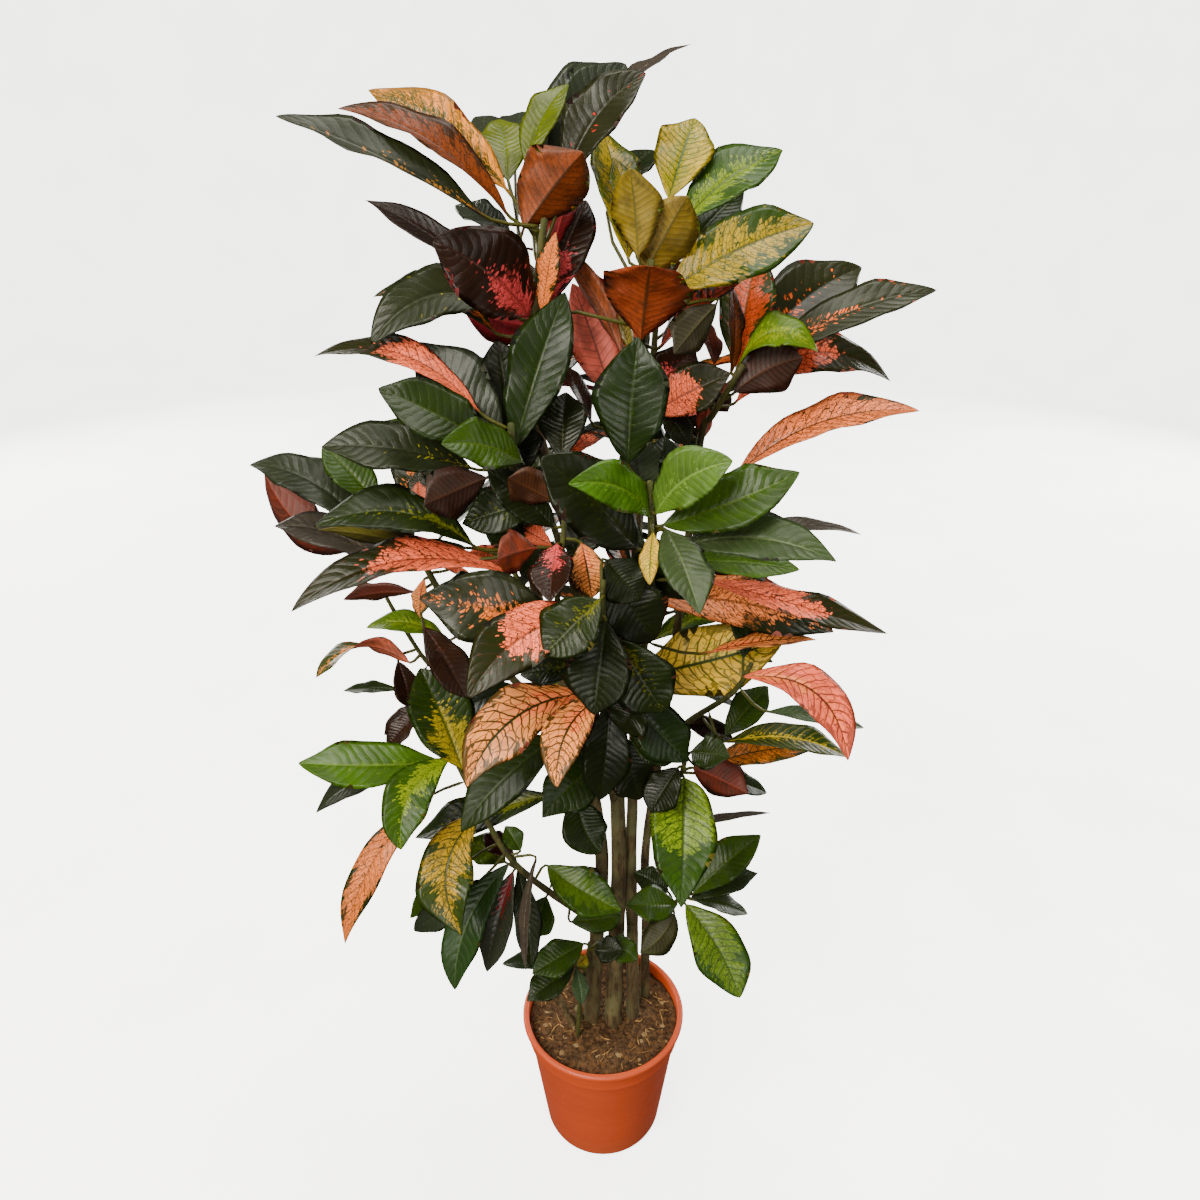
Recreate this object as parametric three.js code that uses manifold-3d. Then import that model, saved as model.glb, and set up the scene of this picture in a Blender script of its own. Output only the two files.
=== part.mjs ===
// Potted croton: a bush of leafy stems that stand in peat in a plain plastic pot.
// Millimetres, +Z up. The origin is on the surface that the pot stands on, under the pot's axis.
import * as THREE from "three";
import { mergeVertices } from "three/addons/utils/BufferGeometryUtils.js";
import Module from "manifold-3d";

const wasm = await Module();
wasm.setup();
const { Manifold } = wasm;

// Driving sizes of the pot
const rimRadius = 135;
const rimHeight = 245;
const lipHeight = 9;
const bandRadius = 129;
const bandFoot = 206;
const wallRadius = 123;
const footRadius = 99;
const footRound = 7;
const wallThickness = 2.4;
const lipWidth = 10;
const floorThickness = 4;
const drainCount = 8;
const drainRadius = 7;
const drainSides = 8;
const drainCircle = 64;
const potSides = 32;

// The soil
const soilTop = 231;
const soilEdgeTop = 226;
const seatGap = 0.35;

// How deep the feet of the stems stand in the soil
const buriedFoot = 172;
const footTop = 242;
const curveStart = 237;
const stemSides = 5;
const stemStep = 66;

// Where a leaf's outline is stated by a place in the picture, it is sighted from this eye
const eye = new THREE.Vector3(0, -1133, 1577);
const pitch = THREE.MathUtils.degToRad(26.4);
const focalPixels = 950;
const pictureCentre = { x: 603.1, y: 600 };
const ahead = new THREE.Vector3(0, Math.cos(pitch), -Math.sin(pitch));
const overhead = new THREE.Vector3(0, Math.sin(pitch), Math.cos(pitch));
const sideways = new THREE.Vector3(1, 0, 0);

// Leaf blades
const bladeThickness = 1.8;
const petioleRadius = 1.9;
const bladeRows = [0, 0.24, 0.5, 0.78, 1];
const smallBladeRows = [0, 0.32, 0.7, 1];
const outlineShares = [0.05, 0.3, 0.55, 0.8, 0.97];
const smallBlade = 46;
const bladeFullness = 0.75;

// Sizes that differ from leaf to leaf come from these shares of its number
const phaseShare = 0.618034;
const sizeShare = 0.754878;
const widthShare = 0.56984;

// The edges of a blade wave up and down by a share of its width
const waveHeight = 0.045;
const waveCount = 2.2;
const waveShift = 0.31;
const foldEasing = 0.35;

// Hidden leaves: the least and the added length and width, their arch, and how they lean
const hiddenLength = [150, 50];
const hiddenWidth = [50, 16];
const hiddenArch = 0.09;
const hiddenRise = [-8, 58];
const hiddenPetiole = 0.17;
const hiddenDroop = 0.12;
const hiddenTurn = 24;
const hiddenSway = 0.4;

// Leaves stand this far apart along a shoot, and none near the soil
const rootGap = 7;
const bareFoot = 60;
// A root is sought behind the foot of its blade: one past it counts as this many times farther
const foldedBack = 3;
const neckPush = 0.45;

// Slivers finer than this, left where leaves join their stem, are smoothed away
const finestDetail = 0.4;
const clearance = 0.8;
const usualLeaf = { fold: 14, arch: 0.06, sweep: 0, twist: 0, under: 0, full: 0.55 };

// The skeleton: every shoot is a curve through a few points, thinning from its foot to its top
const shoots = {
  top_left: {
    stem: "stem_middle",
    thick: [15, 4],
    path: [[17, -15, 237], [21, -12, 420], [24, -10, 596], [10, -10, 850], [-40, -10, 1100],
      [-87, -20, 1289], [-77, -30, 1394], [-63, -40, 1490]],
  },
  front: {
    stem: "stem_middle",
    thick: [6, 3.5],
    path: [[16, -10, 690], [8, -100, 800], [2, -160, 920], [-3, -195, 1040], [0, -205, 1140]],
  },
  pink_left: {
    stem: "stem_middle",
    thick: [4.5, 3],
    path: [[2, -158, 915], [-50, -165, 1020], [-95, -155, 1110], [-107, -150, 1160]],
  },
  inner: {
    stem: "stem_middle",
    thick: [3.5, 3],
    path: [[-60, -164, 1035], [-48, -152, 1130], [-42, -140, 1205]],
  },
  back_left: {
    stem: "stem_middle",
    thick: [6, 3.5],
    path: [[-8, -10, 940], [-60, 80, 1060], [-100, 130, 1180], [-108, 145, 1270]],
  },
  mid_left: {
    stem: "stem_left",
    thick: [13.5, 4],
    path: [[-19, -10, 237], [-10, -12, 420], [-2, -5, 590], [-30, -30, 800], [-70, -70, 1000],
      [-97, -115, 1180], [-100, -125, 1290]],
  },
  left: {
    stem: "stem_left",
    thick: [6, 3.5],
    path: [[-33, -33, 820], [-120, -60, 930], [-200, -75, 1060], [-238, -86, 1170]],
  },
  twisted: {
    stem: "stem_left",
    thick: [3.5, 2.6],
    path: [[-120, -60, 930], [-190, -45, 915], [-232, -40, 940], [-262, -58, 1020], [-272, -62, 1048]],
  },
  low_left: {
    stem: "stem_left",
    thick: [6, 3],
    path: [[-9, -12, 450], [-70, -70, 560], [-126, -118, 672], [-165, -115, 760], [-201, -110, 855]],
  },
  back_low_left: {
    stem: "stem_left",
    thick: [6, 3.5],
    path: [[-20, -20, 730], [-80, 60, 820], [-130, 110, 930], [-150, 125, 1010]],
  },
  second: {
    stem: "stem_right",
    thick: [11, 4],
    path: [[50, -5, 237], [47, -2, 420], [43, 0, 587], [45, -5, 850], [42, -20, 1150],
      [42, -40, 1340], [52, -58, 1450]],
  },
  centre: {
    stem: "stem_right",
    thick: [6, 3.5],
    path: [[45, -5, 840], [50, -80, 970], [55, -150, 1100], [50, -170, 1240]],
  },
  back_top: {
    stem: "stem_right",
    thick: [6, 3.5],
    path: [[42, -16, 1080], [55, 70, 1200], [66, 115, 1320], [70, 130, 1400]],
  },
  back_low: {
    stem: "stem_right",
    thick: [6, 3.5],
    path: [[44, 0, 680], [45, 90, 780], [50, 140, 880], [52, 155, 960]],
  },
  right: {
    stem: "stem_far_right",
    thick: [8, 3.5],
    path: [[72, 38, 237], [70, 30, 420], [66, 15, 578], [85, 0, 800], [105, -10, 1050],
      [117, -20, 1238], [131, -30, 1276], [160, -42, 1335]],
  },
  lower_right: {
    stem: "stem_far_right",
    thick: [5, 3],
    path: [[85, 0, 790], [125, -60, 870], [165, -110, 940], [182, -125, 990]],
  },
  hanging: {
    stem: "stem_far_right",
    thick: [5, 3],
    path: [[75, 6, 690], [85, -80, 770], [98, -150, 840], [102, -168, 880]],
  },
  low_right: {
    stem: "stem_far_right",
    thick: [4.5, 3],
    path: [[68, 28, 430], [95, -30, 500], [126, -88, 582]],
  },
  back_right: {
    stem: "stem_far_right",
    thick: [5, 3.5],
    path: [[95, -5, 920], [115, 80, 1010], [122, 125, 1120], [124, 135, 1190]],
  },
  low: {
    stem: "shoot_low",
    thick: [4, 2.6],
    path: [[-42, -42, 237], [-36, -48, 330], [-27, -58, 400], [-21, -60, 458]],
  },
};

// Stems that stand in the soil, with the radius of their feet
const feet = {
  stem_middle: { x: 17, y: -15, radius: 15 },
  stem_left: { x: -19, y: -10, radius: 13.5 },
  stem_right: { x: 50, y: -5, radius: 11 },
  stem_far_right: { x: 72, y: 38, radius: 8 },
  shoot_low: { x: -42, y: -42, radius: 4.2 },
  stub_left: { x: -52, y: -22, radius: 6, top: [-76, -26, 306], topRadius: 4.5 },
  stub_front: { x: -40.5, y: -12, radius: 6.6, top: [-42, -15, 262], topRadius: 6.2 },
};

// Leaves seen in the picture, by shoot: the tip and the foot of the blade as places in the picture, then
// the real width, how much farther than its foot the tip lies, the turn of the face towards the sky, and
// what departs from the usual leaf
const leaves = {
  top_left: [
    [275, 116, 480, 214, 60, -50, 58, { "fold": 30, "sweep": 0.015 }],
    [337, 109, 505, 212, 52, -25, 50, { "fold": 32, "sweep": -0.06 }],
    [368, 90, 505, 188, 60, 5, 28, { "sweep": -0.035 }],
    [500, 119, 508, 180, 56, 45, 5, { "fold": 8 }],
    [569, 84, 528, 168, 42, 20, 30, { "sweep": 0.06 }],
    [646, 73, 566, 182, 66, -25, 34, { "fold": 20, "sweep": 0.07 }],
    [626, 64, 550, 168, 76, 60, 10, { "sweep": 0.02 }],
    [600, 63, 540, 165, 62, 90, 10, { "sweep": 0.02 }],
    [692, 44, 600, 112, 40, 30, 72, { "sweep": 0.01, "fold": 10 }],
    [583, 152, 524, 228, 84, -55, 15, { "under": 1, "fold": 30 }],
    [581, 166, 553, 250, 44, -20, 50, { "under": 1, "fold": 20 }],
    [365, 200, 498, 290, 48, -10, 35, {}],
    [432, 240, 528, 315, 92, -80, 12, { "fold": 22, "arch": 0.1, "sweep": -0.05 }],
    [373, 297, 492, 330, 48, -20, 45, { "sweep": -0.13 }],
    [371, 344, 510, 314, 62, -45, 26, { "sweep": -0.2 }],
    [466, 314, 533, 328, 66, -10, 20, { "under": 1 }],
    [586, 200, 548, 305, 60, 20, 20, {}],
    [556, 232, 543, 312, 26, -30, 20, {}],
    [455, 205, 510, 235, 40, 60, 40, {}],
    [478, 116, 505, 170, 50, 70, 20, {}],
    [520, 112, 515, 165, 50, 90, 15, {}],
  ],
  second: [
    [601, 129, 628, 258, 66, 15, 34, {}],
    [613, 157, 636, 252, 44, -15, 40, {}],
    [630, 168, 638, 255, 56, -40, 15, { "under": 1 }],
    [688, 196, 645, 274, 70, -60, 10, { "under": 1 }],
    [695, 118, 669, 198, 66, 30, 8, {}],
    [654, 150, 612, 196, 46, 30, 40, {}],
    [783, 150, 684, 222, 70, 20, 36, { "sweep": 0.03 }],
    [814, 223, 668, 292, 84, -10, 30, { "fold": 10, "sweep": 0.02 }],
    [768, 264, 662, 346, 62, -50, 58, { "fold": 30 }],
    [650, 266, 641, 338, 98, -90, 0, { "under": 1, "arch": 0.1 }],
    [572, 283, 612, 398, 62, 0, 15, { "under": 1 }],
    [563, 250, 621, 351, 36, -10, 45, { "under": 1 }],
    [598, 288, 630, 350, 34, 10, 45, {}],
    [674, 354, 716, 305, 46, -20, 20, { "under": 1 }],
    [714, 365, 700, 316, 30, 0, 50, { "under": 1 }],
    [731, 373, 655, 412, 62, -40, 20, { "fold": 20 }],
    [562, 364, 590, 420, 30, 0, 50, {}],
    [564, 366, 556, 325, 26, 0, 40, { "under": 1 }],
    [700, 412, 665, 440, 30, 20, 30, {}],
    [690, 445, 664, 412, 34, 0, 20, {}],
    [744, 190, 684, 252, 46, 40, 25, {}],
    [694, 346, 652, 398, 52, 10, 15, {}],
  ],
  right: [
    [757, 255, 737, 365, 68, 25, 10, {}],
    [731, 284, 731, 372, 26, -20, 50, {}],
    [862, 267, 745, 362, 84, 10, 15, { "sweep": 0.05 }],
    [937, 290, 770, 360, 56, -5, 38, { "sweep": 0.04 }],
    [818, 352, 742, 360, 52, -30, 45, { "arch": 0.2, "sweep": 0.16 }],
    [828, 330, 780, 354, 34, -10, 45, { "under": 1 }],
    [803, 358, 735, 392, 62, -45, 20, { "sweep": 0.08, "under": 1 }],
    [891, 382, 738, 400, 66, -20, 35, { "sweep": 0.2, "fold": 12 }],
    [920, 411, 738, 473, 60, -40, 45, { "sweep": 0.07, "fold": 20 }],
    [728, 412, 712, 395, 30, 10, 20, { "under": 1 }],
    [701, 441, 709, 402, 20, 10, 30, { "under": 1 }],
    [683, 428, 697, 452, 20, 10, 0, {}],
    [771, 813, 668, 835, 18, 10, 50, {}],
  ],
  mid_left: [
    [565, 292, 515, 448, 70, -20, 15, {}],
    [417, 342, 502, 440, 74, 10, 10, {}],
    [378, 388, 490, 445, 66, -30, 25, { "fold": 12 }],
    [313, 357, 475, 408, 46, 20, 48, { "sweep": -0.12 }],
    [441, 444, 522, 462, 54, -60, 25, { "sweep": -0.06 }],
    [321, 447, 470, 468, 66, -25, 32, { "sweep": -0.03 }],
    [374, 424, 440, 440, 22, 20, 30, {}],
    [424, 505, 486, 478, 56, -50, 10, { "under": 1 }],
    [497, 340, 512, 440, 52, 30, 10, {}],
    [520, 420, 515, 480, 60, 0, 10, {}],
  ],
  inner: [
    [508, 478, 552, 500, 44, -40, 10, { "under": 1 }],
    [487, 470, 553, 526, 50, -30, 20, {}],
    [566, 392, 562, 458, 56, 20, 10, {}],
    [498, 560, 535, 548, 50, -40, 20, { "under": 1 }],
    [550, 602, 557, 545, 50, -30, 20, {}],
    [592, 598, 582, 545, 44, 0, 10, {}],
    [510, 523, 550, 545, 30, 0, 30, {}],
    [462, 524, 545, 498, 56, 30, 15, {}],
    [598, 505, 572, 560, 60, 40, 10, {}],
    [520, 575, 560, 545, 50, 30, 15, {}],
  ],
  left: [
    [323, 445, 378, 505, 50, 10, 20, {}],
    [249, 465, 362, 530, 62, 10, 30, { "sweep": -0.1 }],
    [264, 471, 366, 542, 58, 40, 22, { "under": 1, "sweep": 0.18 }],
    [274, 526, 385, 562, 56, 0, 38, { "sweep": -0.05 }],
    [418, 470, 420, 512, 24, 20, 20, {}],
    [343, 600, 412, 592, 34, 10, 50, { "under": 1 }],
    [420, 618, 424, 580, 24, 0, 40, {}],
    [366, 628, 445, 640, 36, -10, 40, { "sweep": -0.1 }],
  ],
  centre: [
    [638, 337, 628, 462, 78, -40, 8, { "fold": 10 }],
    [541, 457, 636, 548, 92, -60, 10, {}],
    [568, 484, 648, 516, 50, -70, 18, { "sweep": -0.12 }],
    [733, 461, 657, 513, 60, -60, 15, { "sweep": 0.1 }],
    [800, 472, 664, 525, 68, -45, 25, { "sweep": -0.05 }],
    [837, 562, 680, 548, 62, -60, 35, { "sweep": 0.07 }],
    [800, 570, 690, 562, 44, -20, 35, {}],
    [760, 562, 680, 560, 50, 20, 30, { "under": 1 }],
    [862, 535, 715, 550, 24, 20, 50, { "sweep": 0.06 }],
    [700, 615, 666, 530, 54, -80, 25, {}],
    [633, 429, 642, 505, 52, -20, 25, {}],
    [664, 437, 662, 500, 58, 0, 15, {}],
    [650, 585, 653, 535, 22, -40, 20, {}],
    [834, 632, 642, 598, 72, -30, 20, { "sweep": 0.04 }],
    [888, 634, 712, 582, 44, 15, 42, { "sweep": -0.03 }],
    [784, 640, 634, 677, 94, -60, 5, { "sweep": -0.02 }],
    [817, 640, 712, 652, 30, 10, 50, {}],
    [645, 600, 655, 540, 60, 20, 5, {}],
    [690, 600, 665, 545, 60, 30, 10, {}],
  ],
  pink_left: [
    [291, 612, 505, 572, 56, -40, 42, { "sweep": -0.1, "fold": 22 }],
    [314, 527, 472, 545, 62, -45, 38, { "sweep": -0.12 }],
    [318, 530, 440, 556, 36, 10, 50, { "under": 1 }],
    [404, 560, 465, 548, 30, 20, 40, {}],
    [444, 585, 490, 582, 26, 0, 40, {}],
    [466, 698, 424, 628, 46, 10, 20, {}],
  ],
  twisted: [
    [316, 678, 408, 662, 50, -30, 90, { "sweep": -0.2, "twist": -140 }],
    [410, 708, 398, 662, 36, 0, 20, {}],
    [343, 691, 398, 690, 22, 0, 45, {}],
    [387, 748, 418, 712, 34, 0, 30, {}],
    [384, 735, 418, 705, 24, 15, 30, {}],
  ],
  front: [
    [419, 598, 565, 630, 82, -20, 15, { "sweep": -0.03 }],
    [468, 699, 592, 616, 68, -45, 10, { "sweep": -0.13 }],
    [466, 788, 582, 694, 70, -50, 8, { "sweep": -0.15 }],
    [557, 788, 603, 697, 50, -55, 10, { "sweep": -0.14 }],
    [520, 675, 583, 668, 44, 10, 30, {}],
    [620, 730, 640, 700, 60, 20, 10, {}],
    [461, 832, 565, 735, 60, -20, 12, { "sweep": -0.06 }],
    [542, 818, 606, 758, 64, -20, 12, { "sweep": -0.05 }],
    [601, 853, 578, 795, 62, -10, 10, { "sweep": -0.12 }],
    [415, 838, 550, 795, 60, 30, 25, {}],
    [655, 640, 605, 572, 76, 30, 5, {}],
    [594, 715, 606, 622, 74, 20, 5, {}],
    [664, 712, 618, 640, 76, 20, 5, {}],
    [640, 600, 606, 560, 56, 10, 5, {}],
    [545, 655, 600, 600, 66, 30, 15, {}],
    [600, 800, 610, 700, 60, 40, 5, {}],
    [688, 762, 626, 700, 66, 20, 10, {}],
    [640, 800, 616, 735, 60, 30, 10, {}],
    [560, 760, 600, 700, 56, 40, 10, {}],
  ],
  lower_right: [
    [848, 761, 745, 677, 58, -35, 26, { "sweep": 0.22 }],
    [768, 686, 726, 735, 46, 20, 10, {}],
    [847, 757, 728, 742, 46, 10, 38, { "sweep": 0.06 }],
    [819, 748, 704, 768, 46, -20, 30, { "sweep": 0.03 }],
    [864, 728, 770, 712, 30, 20, 40, {}],
    [734, 740, 684, 722, 36, -20, 30, {}],
  ],
  hanging: [
    [681, 908, 684, 778, 82, -40, 3, { "fold": 8, "full": 0.42 }],
    [630, 738, 676, 757, 50, -30, 20, {}],
    [730, 757, 692, 752, 46, -40, 20, {}],
    [650, 812, 678, 768, 50, 15, 15, {}],
    [748, 794, 694, 768, 54, 10, 25, { "under": 1 }],
    [767, 793, 708, 775, 30, 30, 30, {}],
  ],
  low_right: [
    [761, 835, 694, 893, 58, 0, 20, {}],
    [758, 873, 692, 898, 44, 20, 30, {}],
    [748, 914, 694, 900, 40, 10, 30, {}],
    [626, 905, 676, 905, 52, -40, 10, {}],
    [634, 872, 668, 892, 40, 10, 20, {}],
    [640, 953, 674, 914, 50, -10, 10, { "under": 1, "sweep": 0.1 }],
    [740, 998, 686, 905, 76, -40, 5, { "sweep": 0.05 }],
  ],
  low_left: [
    [298, 763, 440, 762, 66, -20, 20, { "sweep": 0.04 }],
    [401, 850, 448, 760, 62, -50, 8, { "sweep": -0.17 }],
    [316, 813, 420, 768, 42, 25, 30, { "sweep": -0.08 }],
    [345, 944, 425, 800, 42, -5, 12, { "sweep": -0.08 }],
    [420, 668, 462, 768, 84, 20, 10, {}],
    [462, 935, 478, 814, 76, -40, 12, { "sweep": -0.19 }],
    [455, 990, 508, 865, 56, -10, 10, { "sweep": -0.1 }],
    [487, 972, 513, 872, 48, 10, 20, {}],
    [531, 967, 518, 870, 40, -30, 20, {}],
    [526, 971, 536, 860, 24, -60, 55, {}],
    [622, 911, 548, 866, 64, -30, 10, { "sweep": -0.05 }],
    [622, 916, 572, 922, 44, 20, 20, {}],
    [534, 938, 546, 897, 50, 0, 10, {}],
    [484, 835, 513, 856, 34, 10, 20, {}],
    [505, 826, 520, 850, 30, 0, 10, {}],
    [468, 840, 505, 862, 46, 20, 10, {}],
    [410, 918, 470, 860, 34, 40, 20, {}],
    [414, 931, 480, 880, 44, 20, 10, {}],
    [604, 892, 570, 868, 40, 30, 10, {}],
  ],
  low: [
    [532, 974, 583, 944, 54, -20, 10, {}],
    [502, 964, 560, 962, 34, 0, 20, {}],
    [527, 1001, 573, 968, 50, -30, 20, {}],
    [582, 1005, 576, 969, 26, -20, 20, {}],
    [578, 966, 586, 956, 26, 0, 10, {}],
    [622, 950, 595, 950, 40, -20, 10, {}],
    [638, 959, 606, 941, 40, -10, 15, {}],
  ],
};

// Side and rear leaves that the picture doesn't show follow a spiral round each of these shoots, from a
// share of its length up to its top
const spirals = {
  back_left: { count: 12, from: 0.35, start: 20 },
  back_low_left: { count: 11, from: 0.3, start: 75 },
  back_top: { count: 13, from: 0.3, start: 140 },
  back_low: { count: 11, from: 0.35, start: 200 },
  back_right: { count: 12, from: 0.3, start: 260 },
  top_left: { count: 8, from: 0.84, start: 60 },
  second: { count: 8, from: 0.84, start: 10 },
  right: { count: 8, from: 0.84, start: 100 },
  left: { count: 5, from: 0.7, start: 40 },
  lower_right: { count: 4, from: 0.6, start: 30 },
  low_left: { count: 4, from: 0.6, start: 80 },
};
const goldenAngle = 137.508;

const radians = THREE.MathUtils.degToRad;

// Where a point is seen in the picture, and how far ahead of the eye it lies
function seen(point) {
  const ray = point.clone().sub(eye);
  const depth = ray.dot(ahead);
  const x = pictureCentre.x + (focalPixels * ray.dot(sideways)) / depth;
  const y = pictureCentre.y - (focalPixels * ray.dot(overhead)) / depth;
  return { x, y, depth };
}

// The point that is seen at a place in the picture, at a stated depth
function sighted(x, y, depth) {
  return eye.clone()
    .addScaledVector(ahead, depth)
    .addScaledVector(sideways, (depth * (x - pictureCentre.x)) / focalPixels)
    .addScaledVector(overhead, (depth * (pictureCentre.y - y)) / focalPixels);
}

function curveOf(shoot) {
  const points = shoot.path.map((place) => new THREE.Vector3(...place));
  return new THREE.CatmullRomCurve3(points, false, "catmullrom", 0.5);
}

// A closed three.js geometry as a solid, with its faces turned out
function solid(geometry) {
  geometry.deleteAttribute("normal");
  geometry.deleteAttribute("uv");
  const welded = mergeVertices(geometry, 1e-4);
  const places = welded.getAttribute("position").array;
  const corners = Uint32Array.from(welded.getIndex().array);
  let volume = 0;
  const [a, b, c] = [new THREE.Vector3(), new THREE.Vector3(), new THREE.Vector3()];
  for (let i = 0; i < corners.length; i += 3) {
    a.fromArray(places, 3 * corners[i]);
    b.fromArray(places, 3 * corners[i + 1]);
    c.fromArray(places, 3 * corners[i + 2]);
    volume += a.dot(b.cross(c));
  }
  if (volume < 0) {
    corners.reverse();
  }
  return new Manifold(new wasm.Mesh({ numProp: 3, vertProperties: places, triVerts: corners }));
}

// Moves every vertex of a round or four-sided geometry that stands along Y from 0 to 1
function reshape(geometry, place) {
  const positions = geometry.getAttribute("position");
  for (let i = 0; i < positions.count; i += 1) {
    const along = positions.getY(i) + 0.5;
    const moved = place(along, positions.getX(i), positions.getZ(i));
    positions.setXYZ(i, moved.x, moved.y, moved.z);
  }
  return geometry;
}

const stemSteps = (curve) => Math.max(3, Math.round(curve.getLength() / stemStep));

// A round stem that follows a curve and thins towards its top
function stemAlong(curve, [footWidth, topWidth]) {
  const steps = stemSteps(curve);
  const round = new THREE.CylinderGeometry(1, 1, 1, stemSides, steps);
  return solid(reshape(round, (along, x, z) => {
    const centre = curve.getPoint(along);
    const heading = curve.getTangent(along);
    const side = new THREE.Vector3(1, 0, 0).addScaledVector(heading, -heading.x).normalize();
    const front = heading.clone().cross(side);
    const radius = THREE.MathUtils.lerp(footWidth, topWidth, along);
    return centre.addScaledVector(side, x * radius).addScaledVector(front, z * radius);
  }));
}

// A leaf's own frame: its midrib is a curve from the foot of the blade to its tip
function frameOf(leaf) {
  const chord = leaf.tip.clone().sub(leaf.neck);
  const length = chord.length();
  const heading = chord.divideScalar(length);
  const across = heading.clone().cross(leaf.gaze).normalize();
  const facing = heading.clone().cross(across);
  const shown = leaf.under ? -1 : 1;
  const turn = radians(leaf.roll) * (across.z > 0 ? -1 : 1) * shown;
  const upper = facing.clone().multiplyScalar(Math.cos(turn)).addScaledVector(across, -Math.sin(turn));
  const middle = leaf.neck.clone().add(leaf.tip).multiplyScalar(0.5)
    .addScaledVector(upper, 2 * leaf.arch * length * shown)
    .addScaledVector(across, 2 * leaf.sweep * length);
  return { across, facing, shown, turn, middle, length };
}

// The middle, the width direction, the upper side and the half width of a blade, a share of its length out
function stationOf(leaf, frame, share) {
  const { across, facing, shown, turn, middle } = frame;
  const rest = 1 - share;
  const centre = leaf.neck.clone().multiplyScalar(rest * rest)
    .addScaledVector(middle, 2 * rest * share)
    .addScaledVector(leaf.tip, share * share);
  const heading = middle.clone().sub(leaf.neck).multiplyScalar(rest)
    .addScaledVector(leaf.tip.clone().sub(middle), share)
    .normalize();
  const angle = turn + radians(leaf.twist) * (share - 0.5);
  const wide = across.clone().multiplyScalar(Math.cos(angle)).addScaledVector(facing, Math.sin(angle));
  wide.addScaledVector(heading, -wide.dot(heading)).normalize();
  const upper = heading.clone().cross(wide).multiplyScalar(shown);
  const power = Math.log(0.5) / Math.log(leaf.full);
  const swell = Math.max(0, Math.sin(Math.PI * share ** power)) ** bladeFullness;
  const half = (leaf.wide / 2) * swell + petioleRadius * rest;
  return { centre, wide, upper, half };
}

// How high a blade's edge stands over its midrib
function edgeLift(leaf, share, side) {
  const wave = Math.sin(2 * Math.PI * (waveCount * share + leaf.phase + waveShift * side));
  return waveHeight * leaf.wide * Math.sin(Math.PI * share) * wave;
}

// A blade with its petiole: a four-sided cone, flattened, folded along its midrib and bent to its curve. The
// petiole leaves its root square to its own run, and the foot of the blade faces half way between the two.
// Both faces are split alike. A grown blade stands out by the clearance that neighbours keep.
function bladeSolid(leaf, grown, withPetiole) {
  const frame = frameOf(leaf);
  const shares = leaf.hidden || leaf.wide < smallBlade ? smallBladeRows : bladeRows;
  const rows = shares.length;
  const cone = new THREE.ConeGeometry(1, 1, 4, rows, false);
  const index = cone.getIndex();
  let cursor = 0;
  for (let side = 0; side < 4; side += 1) {
    cursor += 3;
    for (let row = 1; row < rows; row += 1) {
      if (side % 2 === 1) {
        const [a, b, d, , c] = index.array.slice(cursor, cursor + 6);
        index.array.set([a, b, c, a, c, d], cursor);
      }
      cursor += 6;
    }
  }
  const ownRoot = withPetiole ? leaf.root : leaf.neck.clone().lerp(leaf.root, 0.3);
  const petiole = leaf.neck.clone().sub(leaf.root).normalize();
  const joint = frame.middle.clone().sub(leaf.neck).normalize().add(petiole).normalize();
  const turned = [petiole, joint];
  return solid(reshape(cone, (along, x, z) => {
    const row = Math.round(along * rows);
    const share = row === 0 ? 0 : shares[row - 1];
    const station = stationOf(leaf, frame, share);
    if (turned[row]) {
      station.wide.addScaledVector(turned[row], -station.wide.dot(turned[row])).normalize();
      station.upper = turned[row].clone().cross(station.wide).multiplyScalar(frame.shown);
    }
    const centre = row === 0 ? ownRoot.clone() : station.centre;
    const spread = row === rows ? 0 : 1 / (1 - along);
    const fold = radians(leaf.fold) * (1 - foldEasing * share);
    const across = x * spread;
    const level = z * spread;
    const half = station.half + grown;
    const thick = (share < 0.1 ? petioleRadius : bladeThickness / 2) + grown;
    const lift = Math.abs(across) * (half * Math.sin(fold) + edgeLift(leaf, share, Math.sign(across)));
    return centre
      .addScaledVector(station.wide, across * half * Math.cos(fold))
      .addScaledVector(station.upper, lift + level * thick);
  }));
}

// The nearest point of the straight runs that a stem's faces make of its curve
function ontoSpine(point, spine) {
  const nearest = spine.slice(1).map((end, index) => {
    const run = new THREE.Line3(spine[index], end);
    return run.closestPointToPoint(point, true, new THREE.Vector3());
  });
  return nearest.sort((one, other) => one.distanceTo(point) - other.distanceTo(point))[0];
}

// Places along a shoot where leaves may stand, one leaf to a place and none at the very top
const places = {};
for (const [name, shoot] of Object.entries(shoots)) {
  const curve = curveOf(shoot);
  const spine = curve.getPoints(stemSteps(curve));
  const count = Math.round(curve.getLength() / rootGap);
  places[name] = curve.getSpacedPoints(count).slice(0, -1)
    .map((point) => ontoSpine(point, spine))
    .filter((point) => point.z > soilTop + bareFoot)
    .map((point) => ({ point, taken: false }));
}

// The free place that measures least
function nearestPlace(name, measure) {
  let best = null;
  let least = Infinity;
  for (const place of places[name]) {
    const distance = measure(place.point);
    if (!place.taken && distance < least) {
      least = distance;
      best = place;
    }
  }
  best.taken = true;
  return { root: best.point, distance: least };
}

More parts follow.
